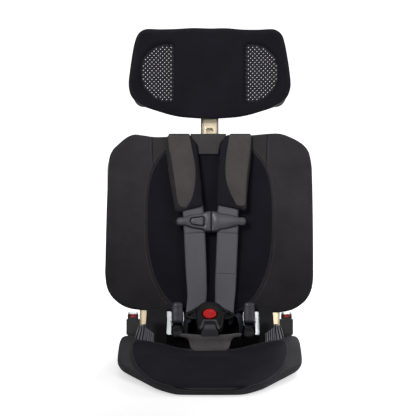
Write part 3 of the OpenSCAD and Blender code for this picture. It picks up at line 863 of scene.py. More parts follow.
def backrest_masks(shader, x, y):
    """Yoke panel, its two seams, the stitch rows, and painted shade that darkens the lower part.
    """
    across = shader.size(x)
    dash = shader.step(shader.wave(y, period=STITCH), low=0.25, high=0.4)
    # The yoke seams lean outwards as they rise.
    seam_x = shader.scaled(shader.minus(y, 318.0), gain=0.045, offset=102.6)
    row = shader.size(shader.minus(shader.minus(across, seam_x), 3.2))
    row = shader.times(shader.fall(row, low=0.25, high=0.6), dash)
    row = shader.times(row, shader.step(y, low=290.0, high=293.0))
    seam = shader.fall(shader.size(shader.minus(across, seam_x)), low=0.3, high=1.1)
    seam = shader.times(seam, shader.step(y, low=284.0, high=288.0))
    above = shader.minus(y, float(OVAL_RISE))

    def superellipse(height, reach, power):
        width_part = shader.math("POWER", shader.math("DIVIDE", across, OVAL_HALF), power)
        height = shader.math("DIVIDE", shader.math("MAXIMUM", height, 0.0), reach)
        return shader.plus(width_part, shader.math("POWER", height, power))

    upper = superellipse(above, OVAL_UP, OVAL_UP_POWER)
    lower = superellipse(shader.times(above, -1.0), OVAL_DOWN, OVAL_DOWN_POWER)
    around = shader.math("MAXIMUM", upper, lower)
    oval_row = shader.fall(shader.size(shader.minus(around, 1.105)), low=0.006, high=0.016)
    slanted = shader.wave(shader.plus(y, shader.times(x, 0.6)), period=STITCH)
    oval_row = shader.times(oval_row, shader.step(slanted, low=0.25, high=0.4))
    yoke = shader.times(shader.fall(shader.minus(across, seam_x), low=-0.4, high=0.4),
                        shader.step(y, low=288.0, high=290.0))
    # Painted shade: the cloth grows darker towards the bottom of the backrest, below a rise of
    # about 215 mm.
    painted_low_shade = shader.times(shader.fall(y, low=60.0, high=215.0), 0.42)
    thread = linear(84, 82, 86)
    return [(painted_low_shade, linear(22, 21, 23)),
            (shader.times(yoke, 0.55), linear(50, 47, 46)),
            (shader.times(seam, 0.75), NEAR_BLACK),
            (shader.times(row, 0.5), thread),
            (shader.times(oval_row, 0.35), thread)]


def hip_shade_masks(shader, x, y):
    """Painted shade that darkens the lower inner corner of the panel beside the hip."""
    corner = shader.times(shader.step(y, low=24.0, high=38.0),
                          shader.fall(x, low=12.0, high=26.0))
    return [(shader.times(corner, 0.85), (0.003, 0.003, 0.0034, 1))]


# Colours are 8-bit sRGB: dark and light yarn, or yarn and hole for the knits.
LOOK = {
    "wing": fabric("wing_cloth", (43, 41, 43), (55, 53, 56), masks=backrest_masks),
    "cloth": fabric("side_cloth", (42, 41, 43), (54, 52, 55)),
    "taupe": fabric("pad_cloth", (61, 59, 58), (76, 73, 72), weave=1.0),
    "seatcloth": fabric("seat_cloth", (52, 51, 54), (66, 65, 68)),
    # Near-black sheet that stands in for the shade behind the buckle.
    "void": fabric("shade_liner_cloth", (8, 8, 9), (13, 13, 15)),
    "hip": fabric("hip_cloth", (33, 33, 35), (45, 44, 47), masks=hip_shade_masks),
    "rib": fabric("gather_cloth", (112, 111, 119), (132, 131, 139)),
    # Painted shade for the valleys between the gathered ribs.
    "rib_valley_shade": fabric("gather_valley_shade", (24, 24, 27), (34, 34, 38)),
    "tab": fabric("tab_cloth", (53, 52, 52), (65, 63, 63)),
    "padside": fabric("pad_side_cloth", (34, 33, 35), (46, 44, 46)),
    # The crotch pad's cloth is painted lighter to lift it out of the shade it sits in: painted
    # light.
    "crotch": fabric("crotch_cloth_lightened", (78, 76, 77), (94, 91, 91), weave=1.0),
    "backmesh": knit("back_knit", (21, 20, 27), (7, 7, 9), pitch=4.4),
    "padmesh": knit("pad_knit", (26, 25, 31), (10, 10, 13), pitch=3.0),
    "head": knit("head_knit", (20, 19, 25), (8, 8, 10), pitch=3.6),
    "headedge": knit("head_edge_knit", (24, 23, 29), (11, 11, 14), pitch=3.2),
    "seatmesh": knit("seat_knit", (30, 29, 36), (11, 11, 14), pitch=4.4),
    "lattice": plastic("lattice_yarn", (38, 37, 42), rough=0.8, grain=2.0, spec=0.12,
                       stored=True),
    "web": webbing("harness_webbing", (74, 74, 79), (98, 98, 104)),
    # A darker copy of the harness webbing: painted shade for the crotch strap in the buckle's
    # mouth.
    "webmid": webbing("crotch_webbing_shaded", (60, 60, 64), (80, 80, 85)),
    "webdark": webbing("dark_webbing", (36, 38, 46), (54, 56, 66)),
    "webblack": webbing("black_webbing", (20, 20, 23), (34, 34, 38)),
    "black": plastic("moulded_black", (20, 20, 23), rough=0.42),
    "blacksoft": plastic("soft_black", (26, 26, 29), rough=0.55, grain=1.6),
    "blacku": plastic("moulded_black_u", (11, 11, 13), rough=0.46, spec=0.22, stored=True),
    "levercap": plastic("lever_cap", (50, 49, 56), rough=0.34, stored=True),
    # Lighter grey for the buckle's mouth lip: painted highlight where its bevel catches the
    # light.
    "lip": plastic("moulded_lip_highlight", (46, 46, 50), rough=0.38, stored=True),
    "clip": plastic("moulded_grey", (65, 65, 72), rough=0.42, stored=True),
    "clipdark": plastic("moulded_gap", (12, 12, 14), rough=0.5, stored=True),
    "pitch": plastic("moulded_pitch", (11, 11, 13), rough=0.5, spec=0.3, stored=True),
    "red": plastic("button_red", (182, 9, 14), rough=0.42, spec=0.3, stored=True),
    "redo": plastic("latch_red", (196, 30, 22), rough=0.36),
    "rubber": plastic("foot_rubber", (22, 22, 22), rough=0.8, grain=2.5, spec=0.25),
    "gold": metal("anodised_champagne", (196, 180, 150), rough=0.30, brush=(2.2, 0.05, 0.05)),
    # Rail and post: painted shade darkens the rounded edges of the tubes.
    "goldv": metal("anodised_champagne_rail", (214, 199, 168), rough=0.24,
                   brush=(2.2, 2.2, 0.04), painted_edge_shade=(2.6, 6.8, 117.2, 0.72, True)),
    "goldp": metal("anodised_champagne_post", (206, 192, 166), rough=0.24,
                   brush=(2.2, 2.2, 0.04), painted_edge_shade=(9.5, 14.2, 0.5, 0.9, False)),
    "darksteel": metal("blackened_steel", (30, 30, 33), rough=0.4),
    "steel": metal("plated_steel", (205, 208, 212), rough=0.22, brush=(1.5, 0.08, 0.08)),
    "spring": metal("spring_steel", (170, 172, 176), rough=0.3),
}

# ---------------------------------------------------------------- Backrest
# Outline tables of the backrest, pads and headrest hold (x, rise).
BACK_OUTLINE = loop([
    (0, 28), (60, 27.5), (100, 26.5), (122.4, 25.5), (145, 29.5), (161, 38), (173, 49),
    (181, 64), (184.7, 84), (185.2, 120), (185, 185), (184.4, 240), (183.3, 279),
    (181.5, 298), (177.5, 313), (170.5, 323.5), (160, 332), (143, 341), (125.6, 347),
    (106, 347), (73, 344.3), (26, 343.6), (0, 345.6), (-37, 344), (-93, 341), (-120, 344),
    (-136, 345), (-150, 339), (-164, 327), (-175.5, 314.5), (-181.2, 296), (-183.4, 250),
    (-185.3, 185.5), (-186.6, 120), (-186.7, 91), (-183.5, 70), (-176, 55), (-165, 43.9),
    (-151, 35.5), (-133.8, 31), (-100, 28.5), (-60, 27.5)], 3.5)
# Side hoop inside the cover: centre line measured in the wing's own slanted plane.
WING_ANGLE, WING_ROOT = math.radians(14), 119
HOOP = resample(rounded([(-200, 39), (61, 39), (61, 327), (-200, 327)], [0, 46, 46, 0], 12), 3)
YOKE_LINE = line([(103.6, 350), (103.2, 335), (102.6, 317), (102.2, 296), (102.0, 287)])
YOKE_LINES = [YOKE_LINE, YOKE_LINE * [-1, 1]]


def oval(grow=0.0, step=3.5):
    """Outline of the oval opening, grown outwards."""
    low = OVAL_RISE - OVAL_DOWN * 0.985
    high = OVAL_RISE + OVAL_UP * 0.905
    rise = (low + high) / 2 - np.cos(np.linspace(0, math.pi, 200)) * (high - low) / 2
    rise = OVAL_RISE + (rise - OVAL_RISE) * (1 + grow / 150)
    rise = np.clip(rise, low - grow, high + grow)
    above = rise - OVAL_RISE
    power = np.where(above > 0, OVAL_UP_POWER, OVAL_DOWN_POWER)
    reach = np.where(above > 0, OVAL_UP, OVAL_DOWN) + grow
    x = (OVAL_HALF + grow) * np.power(
        np.clip(1 - np.power(np.abs(above) / reach, power), 0, 1), 1 / power)
    right = np.stack([x, rise], 1)
    left = right[::-1] * [-1, 1]
    return smooth_loop(resample(np.vstack([right, left]), step), 2)


def hoop_distance(pts):
    slanted = (np.abs(pts[:, 0]) - WING_ROOT) / math.cos(WING_ANGLE)
    return edge_distance(np.stack([slanted, pts[:, 1]], 1), [HOOP])


def wing_front(pts):
    """Depth of the cover's front; the wings come forward and show the hoop as a ridge."""
    x = np.abs(pts[:, 0])
    out = np.where(x > 112, (x - 112) - 6 * (1 - np.exp(-np.maximum(x - 112, 0) / 6)), 0)
    ridge = 2.0 * bell(hoop_distance(pts), 6.5) * ease(x, 138, 160)
    return -7.6 - 0.158 * out - ridge - 0.45 * value_noise(pts, 38, 3) * ease(x, 100, 130)


def wing_rear(pts):
    """Depth of the cover's rear, which bulges round the hoop."""
    x = np.abs(pts[:, 0])
    away = hoop_distance(pts)
    centre = 5.5 - (x - WING_ROOT) * math.tan(WING_ANGLE)
    pocket = centre + 6.9 * np.sqrt(np.clip(1 - (away / 9.2) ** 2, 0, 1))
    body = np.maximum(wing_front(pts) + 4.6, np.where(away < 9, pocket, -99))
    share = ease(x, 126.8, 130.5)
    return -0.6 * (1 - share) + body * share


def cover_half(pts, dist):
    return round_edge(dist, 5.0, 1.0) * (wing_rear(pts) - wing_front(pts)) / 2


def seam_dip(pts, lines, width):
    return 0.9 * bell(line_distance(pts, lines), width)


attach(pillow("backrest_cover", BACK_OUTLINE, "wing",
              lambda pts: (wing_front(pts) + wing_rear(pts)) / 2,
              lambda pts, dist: (cover_half(pts, dist)
                                 - seam_dip(pts, YOKE_LINES, 1.6) * ease(dist, 0, 4)),
              cover_half, on_back, step=6.5, holes=[oval()], seams=YOKE_LINES),
       "back_frame", "back_cover")


def mesh_mid(pts):
    round_off = (pts[:, 0] / 113) ** 2 + ((pts[:, 1] - 180) / 150) ** 2
    return -4.1 + 1.5 * (1 - np.clip(round_off, 0, 1)) + 0.25 * value_noise(pts, 40, 5)


def mesh_half(_, dist):
    return round_edge(dist, 3.0, 1.1)


attach(pillow("backrest_mesh", oval(4.0, 5.0), "backmesh", mesh_mid, mesh_half, mesh_half,
              on_back, step=8),
       "back_frame", "back_mesh")

FLAP_OUTLINE = resample(rounded(
    [(-35, 346.5), (-31.6, 335.5), (-25, 330.5), (-22.2, 322), (-20.2, 309.2),
     (15.8, 309.2), (18.3, 326), (21.5, 332.5), (27.5, 337.5), (30, 346.5)],
    [0.8, 5, 5, 6, 1.6, 1.6, 6, 5, 5, 0.8]), 1.6)
attach(pillow("yoke_flap", FLAP_OUTLINE, "tab", lambda pts: -8.9 - 0.5 * np.cos(pts[:, 0] / 9),
              lambda _, dist: round_edge(dist, 1.6, 1.5) - 0.5 * bell(dist - 3.4, 0.7),
              lambda _, dist: round_edge(dist, 1.6, 1.2),
              on_back, step=3.5, rings=(0.6, 1.6, 3.4, 5)),
       "back_frame", "yoke_tab")

attach(cord("oval_binding", oval(-0.4, 2.5), lambda pts: np.full(len(pts), -4.6), 1.25,
            "cloth", on_back), "back_frame")

# ---------------------------------------------------------------- Shoulder pads
# Per pad: outline, then the two lines that bound its front panel (outer and inner).
PADS = {
    "left": ([(-75.8, 344), (-78, 321), (-77.3, 307), (-72.5, 269), (-66.5, 234.7),
              (-62.0, 208), (-53.5, 203.8), (-39.3, 208.2), (-12.6, 214), (-15.0, 251.9),
              (-18.5, 286.5), (-21.3, 310.7), (-23, 326.3), (-29.1, 334.5), (-36.3, 344)],
             [(-75.6, 347), (-73, 321), (-68.7, 300), (-61.7, 255), (-57.2, 224),
              (-51.8, 214.6), (-41.5, 212)],
             [(-41.5, 212), (-31.6, 229.5), (-26.4, 255.4), (-26.1, 286.5), (-30.8, 312.4),
              (-37.5, 347)]),
    "right": ([(30.6, 344), (24.4, 333.5), (20.1, 328), (18.3, 310.7), (14.9, 269),
               (12.4, 234.7), (13.6, 216.5), (35, 212.5), (54.4, 208), (65.4, 206.5),
               (66.6, 234.7), (70, 269.2), (74, 303.8), (75.7, 344)],
              [(74.6, 347), (72.6, 317.6), (66.5, 269.2), (64.2, 225), (58.9, 215.6),
               (48.4, 216.2)],
              [(48.4, 216.2), (36.4, 239.8), (28.9, 265.7), (28.7, 293.4), (32.1, 321.1),
               (36.2, 347)]),
}
PAD_ENDS = [205, 345]  # rise of a pad's lower and upper end


def strap_depth(rise):
    return -11 - 12 * np.clip((345.5 - rise) / 138, 0, 1.1)


def shoulder_pad(letter, word):
    corners, outer, inner = PADS[word]
    outline = smooth_loop(resample(rounded(corners, [4] * len(corners), 6), 2.2), 1)
    seams = [line(outer, 2.4), line(inner, 2.4)]
    panel = np.vstack(seams)
    outer = np.array(sorted(outer, key=lambda point: point[1]), float)
    table = np.asarray(corners, float)

    def middle_x(rise):
        near = table[np.abs(table[:, 1] - rise) < 18, 0]
        return (near.min() + near.max()) / 2

    ends_x = [middle_x(rise) for rise in PAD_ENDS]

    def region(centres):
        """0 the front panel, 2 the part outside it, 1 the rest."""
        limit = np.abs(np.interp(centres[:, 1], outer[:, 1], outer[:, 0])) - 0.5
        rest = np.where(np.abs(centres[:, 0]) > limit, 2, 1)
        return np.where(inside(centres, panel), 0, rest)

    def front(pts, dist):
        off = np.abs(pts[:, 0] - np.interp(pts[:, 1], PAD_ENDS, ends_x))
        crown = 1 - 0.35 * np.clip(off / 30, 0, 1) ** 2
        return (round_edge(dist, 9.0, 6.2) * crown
                - seam_dip(pts, seams, 1.5) * ease(dist, 0, 3))

    pad = pillow("shoulder_pad_" + letter, outline, ("taupe", "padmesh", "padside"),
                 lambda pts: strap_depth(pts[:, 1]) - 3.0 - 0.5 * value_noise(pts, 26, 11),
                 front, lambda _, dist: round_edge(dist, 5.0, 4.0), on_back, step=4.2,
                 rings=(0.5, 1.4, 2.8, 4.8, 7.5), seams=seams, region=region, rear_look=1)
    attach(pad, "back_frame", "shoulder_pad_" + word)


for _, letter, word in SIDES:
    shoulder_pad(letter, word)

# ---------------------------------------------------------------- Shoulder webbing
WEB_WIDTH = 37.6


def strap_points(side):
    """Top, pad end, chest clip and lower end of one strap; the right one runs wider."""
    wider = 0 if side < 0 else 4.8
    return np.array([(-55, -11, 345.5), (-30 - wider * 0.6, -23, 207.5),
                     (-27 - wider, -23.5, 166.5), (-22.6 - wider, -17, 58)]) * [-side, 1, 1]


def tongue_slot(side):
    """Middle of the tongue's webbing slot, in backrest coordinates."""
    return buckle_to_back((side * 25.6, 3.2, 38.6))


def spot(point):
    return tuple(on_back(point))


def shoulder_web(side, letter, word):
    top, pad_end, clip, end = strap_points(side)
    x = top[0]
    upper = spline([(x, 17.3, 308), (x, 17.3, 325), (x, 17.0, 341), (x, 13, 347.2),
                    (x, 4, 348.2), (x, -6, 347.6), (x - 0.3 * side, -10.6, 343.5),
                    top * 0.8 + pad_end * 0.2, top * 0.4 + pad_end * 0.6, pad_end,
                    (pad_end + clip) / 2, clip], 70)
    upper[:, 2] -= 1.6 * ease(upper[:, 2], 343, 347)
    upper_web = tape("shoulder_web_up_" + letter, upper, (1, 0, 0), WEB_WIDTH,
                     ("web", "padside"), on_back)
    for face in upper_web.data.polygons:
        face.material_index = int(face.center.z > on_back((0, 0, 300))[2])
    slot = tongue_slot(side)
    lower = spline([clip, clip * 0.66 + end * 0.34, clip * 0.33 + end * 0.67, end,
                    (end + slot) / 2 + np.array([0, 1.6, 0]), slot], 60)
    # The tape turns from level to the slant of the tongue's slot.
    turn = ease(np.linspace(0, 1, 60), 0.55, 1.0)[:, None]
    across = ((1 - turn) * np.array([1.0, 0, 0])
              + turn * (buckle_direction(26 * side, -17.4) * side))
    half = 30
    webs = [upper_web]
    if side < 0:
        low_web = tape("shoulder_web_low_l", lower, across, WEB_WIDTH, "web", on_back,
                       taper=lambda part: 1 - 0.096 * ease(part, 0.3, 1.0))
        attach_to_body(upper_web, "back_frame")
        spot(lower[half])
        spot(lower[-4])
        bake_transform(low_web)
        webs.append(low_web)
    else:
        mid_web = tape("shoulder_web_mid_r", lower[:half + 1], across[:half + 1], WEB_WIDTH,
                       "web", on_back)
        low_web = tape("shoulder_web_low_r", lower[half:], across[half:], WEB_WIDTH, "web",
                       on_back, taper=lambda part: 1 - 0.1 * ease(part, 0.2, 1.0))
        spot(upper[40])
        spot(upper[-6])
        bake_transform(upper_web)
        spot(lower[3])
        spot(lower[half - 2])
        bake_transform(mid_web)
        spot(lower[half + 2])
        spot(lower[-4])
        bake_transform(low_web)
        webs += [mid_web, low_web]
    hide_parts("shoulder_strap_" + word)


for side in SIDES:
    shoulder_web(*side)

# ---------------------------------------------------------------- Chest clip
# Corners (x, z) and radii of the left half; the right half is its mirror image.
CLIP_HALF = [
    (-0.35, 19.2), (-11, 17.6), (-13.6, 14.9), (-35, 12.2), (-52.4, 7.0), (-55.2, 8.4),
    (-61.6, 6.4), (-64.2, 0.4), (-61.6, -6.2), (-54.6, -7.3), (-51, -6.0), (-32, -11.8),
    (-14.4, -14.5), (-10.9, -17.8), (-0.35, -18.8)]
CLIP_RADII = [0.6, 2, 2.5, 30, 3, 2, 3, 4, 3, 2, 3, 30, 2.5, 2, 0.6]
CLIP_HALF = [(x * (0.965 if x < -30 else 1.0), z * 0.93) for x, z in CLIP_HALF]
# The near-black base is a little larger than the body; its rim is partly the clip's black rear
# part and partly painted contact shadow round the clip.
CLIP_BASE_AND_SHADOW = [(x - (1.6 if x < -5 else 0), z * 1.085) for x, z in CLIP_HALF]
CLIP_WINDOW = rounded([(-12.6, -8.3), (-12.6, 9.2), (-35.4, 6.2), (-37.6, 1.0), (-35.4, -5.2)],
                      [2.5, 3.5, 3, 3, 3], 6)


def on_clip(points):
    return on_back(np.asarray(points, float) + np.array([2.6, -23.5, 187.0]))


def clip_relief(x, z, dist):
    """Crowned body with a raised centre block."""
    return (2.6 * bell(z, 13) * ease(dist, 0, 7)
            + 0.9 * ease(14.2 - np.abs(x), -0.8, 0.8) * ease(dist, 0, 1.5))


def clip_body(letter, corners, radii, holes=()):
    return block(f"clip_{letter}_body", rounded(corners, radii, 6), (-8, 4.5), "clip", on_clip,
                 radius=2.2, step=2.6, holes=holes, hole_step=0.9, relief=clip_relief)


# Near-black base under a clip half; its rim is partly painted contact shadow.
def clip_base_and_shadow(letter, corners, radii):
    return block(f"clip_{letter}_base", rounded(corners, radii, 6), (-2.6, 5.6), "clipdark",
                 on_clip, radius=1.0, step=3)


body = clip_body("l", CLIP_HALF, CLIP_RADII, [CLIP_WINDOW])
floor = block("clip_l_floor", rounded([(-10, -11), (-10, 12), (-38, 9), (-40, 1), (-38, -8)],
                                      [3] * 5, 5),
              (-4.5, 3.0), "clipdark", on_clip, radius=0.6, step=3)
base = clip_base_and_shadow("l", CLIP_BASE_AND_SHADOW, CLIP_RADII)
attach(join("clip_left_moulding", [body, floor, base]),
       "back_frame", "clip_half_left")

body = clip_body("r", mirror(CLIP_HALF), CLIP_RADII[::-1])
base = clip_base_and_shadow("r", mirror(CLIP_BASE_AND_SHADOW), CLIP_RADII[::-1])
prong = block("clip_r_prong", rounded([(-18, -7), (2, -7.5), (2, 7.5), (-18, 7)],
                                      [3, 1, 1, 3], 5),
              (-1.9, 1.4), "clipdark", on_clip, radius=0.7, step=3)
attach(join("clip_right_moulding", [body, base, prong]),
       "clip_right", "clip_half_right")


def press_relief(x, z, dist):
    """Domed key with a finger dip and fine grip ribs across it."""
    return (0.5 * ease(dist, 0, 5.4)
            - 0.7 * bell(x + 22, 7) * bell(z - 0.6, 4.4)
            + 0.25 * np.cos(x * 2.2) * bell(x + 22, 5) * bell(z - 0.6, 4))


attach(block("clip_press_key",
             rounded([(-13.7, -7.2), (-13.7, 7.9), (-34.4, 5.2), (-36.2, 0.9), (-34.4, -4.2)],
                     [2.2, 3, 2.6, 2.6, 2.6], 6),
             (-9.6, -6), "clip", on_clip, radius=0.9, step=2, relief=press_relief),
       "clip_press", "clip_button")

# ---------------------------------------------------------------- Buckle
BUCKLE_HALF = [(8.5, -1.5), (21.5, 0), (24.5, 18), (25.5, 35), (18.5, 49.5), (7, 56.5)]
BUCKLE_RADII = [2, 5, 20, 12, 10, 4]
BUCKLE_OUTLINE = rounded(BUCKLE_HALF + mirror(BUCKLE_HALF), BUCKLE_RADII + BUCKLE_RADII[::-1])
KEY_Z = 29.4
HOLE_X, HOLE_Z = 12.5, 10.0  # half width and half height of the key's opening
KEY_GAP = 0.45


def buckle_relief(x, z, dist):
    """Crowned face with a rim round the key and an arch above the mouth."""
    away = np.hypot(x / HOLE_X, (z - KEY_Z) / HOLE_Z) * HOLE_X
    rim = 0.8 * bell(away - 13.7, 1.3)
    arch = 1.6 * bell(z - 9 + 0.012 * x ** 2, 3.2) * ease(17 - np.abs(x), 0, 4)
    return (1.6 * ease(dist, 0, 9) + rim + arch) * ease(dist, 0, 1.5)


def key_relief(x, z, _):
    """Dished key with two raised rings."""
    away = np.hypot(x, (z - KEY_Z) * 1.24)
    return (0.7 - 1.3 * np.exp(-(away / 6.0) ** 4) + 0.35 * bell(away - 6.6, 0.7)
            + 0.22 * bell(away - 3.4, 0.5))


face = block("buckle_face", BUCKLE_OUTLINE, (-10.6, -0.2), "blacku", on_buckle, radius=3.2,
             step=2.4, holes=[ellipse(KEY_Z, HOLE_X, HOLE_Z, 60)], hole_step=1.1,
             relief=buckle_relief)
well = block("buckle_well", ellipse(30, 15, 15, 40), (-4.6, -1), "clipdark", on_buckle,
             radius=0.5, step=4)
attach(join("buckle_front", [face, well]), "back_frame", "buckle_front_shell")
attach(block("buckle_rear", BUCKLE_OUTLINE, (0.1, 9), "blacku", on_buckle, radius=2.4, step=4),
       "back_frame", "buckle_rear_shell")

# Arched mouth where the crotch webbing enters; its lip is lighter grey, a painted highlight on
# the bevel.
MOUTH = [(-12.2, 17.0), (12.2, 17.0), (15.2, 8), (19.4, -2.2), (13.8, -3.4), (10.4, 7.0),
         (9.6, 12.6), (-9.6, 12.6), (-10.4, 7.0), (-13.8, -3.4), (-19.4, -2.2), (-15.2, 8)]
MOUTH_RADII = [3.5, 3.5, 6, 2.2, 2.2, 6, 2, 2, 6, 2.2, 2.2, 6]
lip = block("buckle_mouth", rounded(MOUTH, MOUTH_RADII, 6), (-14.4, -6), "lip", on_buckle,
            radius=1.8, step=2)
slot = block("buckle_mouth_slot",
             rounded([(-11.5, -1.2), (11.5, -1.2), (9.9, 13.4), (-9.9, 13.4)],
                     [1, 1, 2, 2], 4),
             (-12.6, -5), "clipdark", on_buckle, radius=0.6, step=3)
attach(join("buckle_mouth_part", [lip, slot]), "back_frame")
attach(block("buckle_key", ellipse(KEY_Z, HOLE_X - KEY_GAP, HOLE_Z - KEY_GAP, 72),
             (-12.4, -8.3), "red", on_buckle, radius=1.4, step=1.3, relief=key_relief),
       "buckle_press", "buckle_button")

# Left tongue: corners and radii of the plate, corners of its webbing slot.
TONGUE = [(-0.5, 25), (-18, 23.2), (-32, 24.0), (-42.5, 27.2), (-46.2, 33.2), (-42, 37.2),
          (-29.5, 44.2), (-11, 56.0), (-4, 58.0), (-0.5, 57.0)]
TONGUE_RADII = [0.6, 4, 8, 3.5, 3, 4, 20, 4, 2, 0.8]
TONGUE_SLOT = [(-38.4, 32.0), (-37.0, 30.0), (-13.0, 46.0), (-14.4, 48.0)]


def tongue_relief(x, _, dist):
    """Raised outer end and a ridge that follows the edges."""
    return 1.3 * bell(np.abs(x) - 41, 3.2) * ease(dist, 0, 2) + 0.9 * bell(dist - 3.0, 1.1)


for side, letter, word in SIDES:
    plate, radii, opening = TONGUE, TONGUE_RADII, TONGUE_SLOT
    if side > 0:
        plate, radii, opening = mirror(plate), radii[::-1], mirror(opening)
    attach(block("tongue_plate_" + letter, rounded(plate, radii, 6), (-2.6, 2.2), "blacku",
                 on_buckle, radius=1.3, step=2.6, holes=[rounded(opening, [0.8] * 4, 4)],
                 relief=tongue_relief),
           "tongue_" + letter, "tongue_" + word)

# ---------------------------------------------------------------- Hip adjusters
ADJUSTER_MID, ADJUSTER_OUT = 6.5, 64.0  # x midway between the two, and each one's offset
# Lever hub, a turned ring about x: (x, radius).
HUB_PROFILE = [(-8.05, 3.2), (-8.05, 5.2), (-7.3, 6.0), (7.3, 6.0), (8.05, 5.2), (8.05, 3.2)]
HUB_DEPTH, HUB_RISE = -8, 12


def lever_relief(x, z, dist):
    """Crowned cap with grip grooves 5 mm apart."""
    groove = (np.abs(((z - 12) / 5) % 1 - 0.5) < 0.16) * (z > 12) * (z < 38)
    return (1.8 * bell(x, 7.5) * ease(dist, 0, 5)
            - 0.45 * groove * ease(7.5 - np.abs(x), -0.5, 0.8))


def base_relief(x, z, _):
    """Groove across the base."""
    return -1.5 * bell(z + 8, 3.0) * ease(7 - np.abs(x), -0.5, 1.5)


def adjuster(side, letter, word):
    centre = ADJUSTER_MID + ADJUSTER_OUT * side

    def on_adjuster(points):
        return on_back(np.asarray(points, float) + np.array([centre, 0, 0]))

    def part(name, corners, radii, steps, depth, look, radius, step, relief=None):
        return block(f"{name}_{letter}", rounded(corners, radii, steps), depth, look,
                     on_adjuster, radius=radius, step=step, relief=relief)

    cap = part("lever_cap", [(-10, 6.8), (10, 6.8), (10.2, 20), (9.4, 43.6), (-9.4, 43.6),
                             (-10.2, 20)], [3, 3, 60, 5.5, 5.5, 60], 8,
               (-25, -15.4), "levercap", radius=3.4, step=2.4, relief=lever_relief)
    skirt = part("lever_skirt", [(-8.1, 5.2), (8.1, 5.2), (8.1, 38), (-8.1, 38)], [3] * 4, 5,
                 (-17, -11.4), "clipdark", radius=1.2, step=4)
    angles = np.linspace(0, 2 * math.pi, 28, endpoint=False)
    verts = np.array([(x, HUB_DEPTH + radius * math.cos(angle),
                       HUB_RISE + radius * math.sin(angle))
                      for x, radius in HUB_PROFILE for angle in angles])
    hub = make("lever_hub_" + letter, verts,
               tube_faces(len(HUB_PROFILE), len(angles), closed=True), verts, "blacku",
               on_adjuster)
    arm = part("lever_arm", [(-7.9, 6), (7.9, 6), (7.9, 18), (-7.9, 18)], [1] * 4, 3,
               (-15, -11.5), "blacku", radius=0.6, step=4)
    attach(join("lever_part_" + letter, [cap, skirt, hub, arm]),
           "lever_" + letter, "adjuster_lever_" + word)

    base = part("adjuster_base", [(-9.6, -19), (9.6, -19), (10, -8), (8.5, -3.6),
                                  (-8.5, -3.6), (-10, -8)], [3, 3, 4, 2, 2, 4], 5,
                (-17.6, 2.2), "pitch", radius=2.2, step=3, relief=base_relief)
    neck = part("adjuster_neck", [(-8.2, -8), (8.2, -8), (7.6, 3.4), (-7.6, 3.4)],
                [1, 1, 2, 2], 4, (-7.0, 2.0), "pitch", radius=1.0, step=4)
    plate = part("adjuster_plate", [(-11.4, -15), (11.4, -15), (11.6, 33), (-11.6, 33)],
                 [3, 3, 4, 4], 5, (0.3, 2.4), "pitch", radius=0.7, step=4)
    attach(join("adjuster_base_" + letter, [base, neck, plate]), "back_frame")

    # Lap webbing: leaves the tongue's slot and curves outwards and down past the adjuster.
    slot = tongue_slot(side)
    x = centre - 14.0 * side
    path = spline([slot + np.array([side * 1.0, 2.2, 1.0]),
                   slot + np.array([side * 7.0, -1.0, -7]),
                   (x - 8 * side, -23.5, 19), (x - 1.5 * side, -20, 12),
                   (x + 0.5 * side, -13, 2), (x + 1.5 * side, -5, -10),
                   (x + 2 * side, 3, -18)], 46)
    turn = ease(np.linspace(0, 1, 46), 0.0, 0.45)[:, None]
    across = ((1 - turn) * buckle_direction(26 * side, -20)
              + turn * np.array([0.42 * side, 0.86, 0.25]))
    lap = tape("lap_web_" + letter, path, across, 34, "webdark", on_back,
               taper=lambda run: 0.9 - 0.25 * ease(run, 0.05, 0.5))
    spot(path[3])
    spot(path[22])
    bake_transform(lap)
    if side < 0:
        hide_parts("lap_straps")


for side in SIDES:
    adjuster(*side)

# ---------------------------------------------------------------- Crotch webbing and pad
attach(tape("crotch_web",
            spline([(0, -31, -36), (0, -35, -20), (0, -39.5, -6), (0, -44.5, 3),
                    (0, -48.2, 10)], 24),
            (1, 0, 0), 34, "web", on_hinge, thick=1.6,
            taper=lambda run: 1.0 - 0.42 * ease(run, 0.35, 0.95)),
       "back_frame", "crotch_strap")
# The strap's part at the buckle's mouth uses the darker copy of the webbing, painted shade.
attach(tape("crotch_web_mouth",
            spline([(0, -10.8, 7.4), (0, -13.0, 4.8), (0, -13.2, 1.6), (0, -11.8, -2.2),
                    (0, -3.5, -6.2), (0, 6.0, -10), (0, 13.0, -14)], 28),
            (1, 0, 0), 31, "webmid", on_buckle,
            taper=lambda run: 0.60 + 0.40 * ease(run, 0.05, 0.6)),
       "back_frame")

# Corners (x, z) in the hinge frame.
CROTCH_PAD = [
    (-27, -29.6), (27, -29.6), (34.5, -25), (37.5, -15), (41.0, -8.4), (53, -9.5), (59, -6),
    (56, -2.4), (44, -1.2), (20, -2.6), (0, -3.6), (-20, -2.6), (-42, -1.2), (-52, -2.8),
    (-56, -6.5), (-50, -10), (-40.0, -8.4), (-37, -15), (-34, -25)]
CROTCH_RADII = [7, 7, 8, 10, 5, 3, 2.5, 3, 8, 10, 20, 10, 8, 3, 2.5, 3, 5, 10, 8]


def crotch_mid(pts):
    """Leaning middle surface: the side ends curl back and the lower edge swings forward."""
    x, z = pts[:, 0], pts[:, 1]
    lean = -45.4 - 0.10 * (z + 16)
    curl = 7.5 * ease(np.abs(x), 36, 58) + 0.0016 * x ** 2
    ripple = 1.0 * np.sin(x / 9.0) * ease(-z, 16, 30) + 0.8 * value_noise(pts, 17, 9)
    return lean + curl + ripple - 14.5 * ease(-z, 13.5, 30)


def crotch_front(pts, dist):
    """Thinner at the side ends, with a stitched groove along the edge."""
    thin = 1 - 0.35 * ease(np.abs(pts[:, 0]), 36, 50)
    return round_edge(dist, 6.5, 3.3) * thin - 0.55 * bell(dist - 3.6, 0.8)


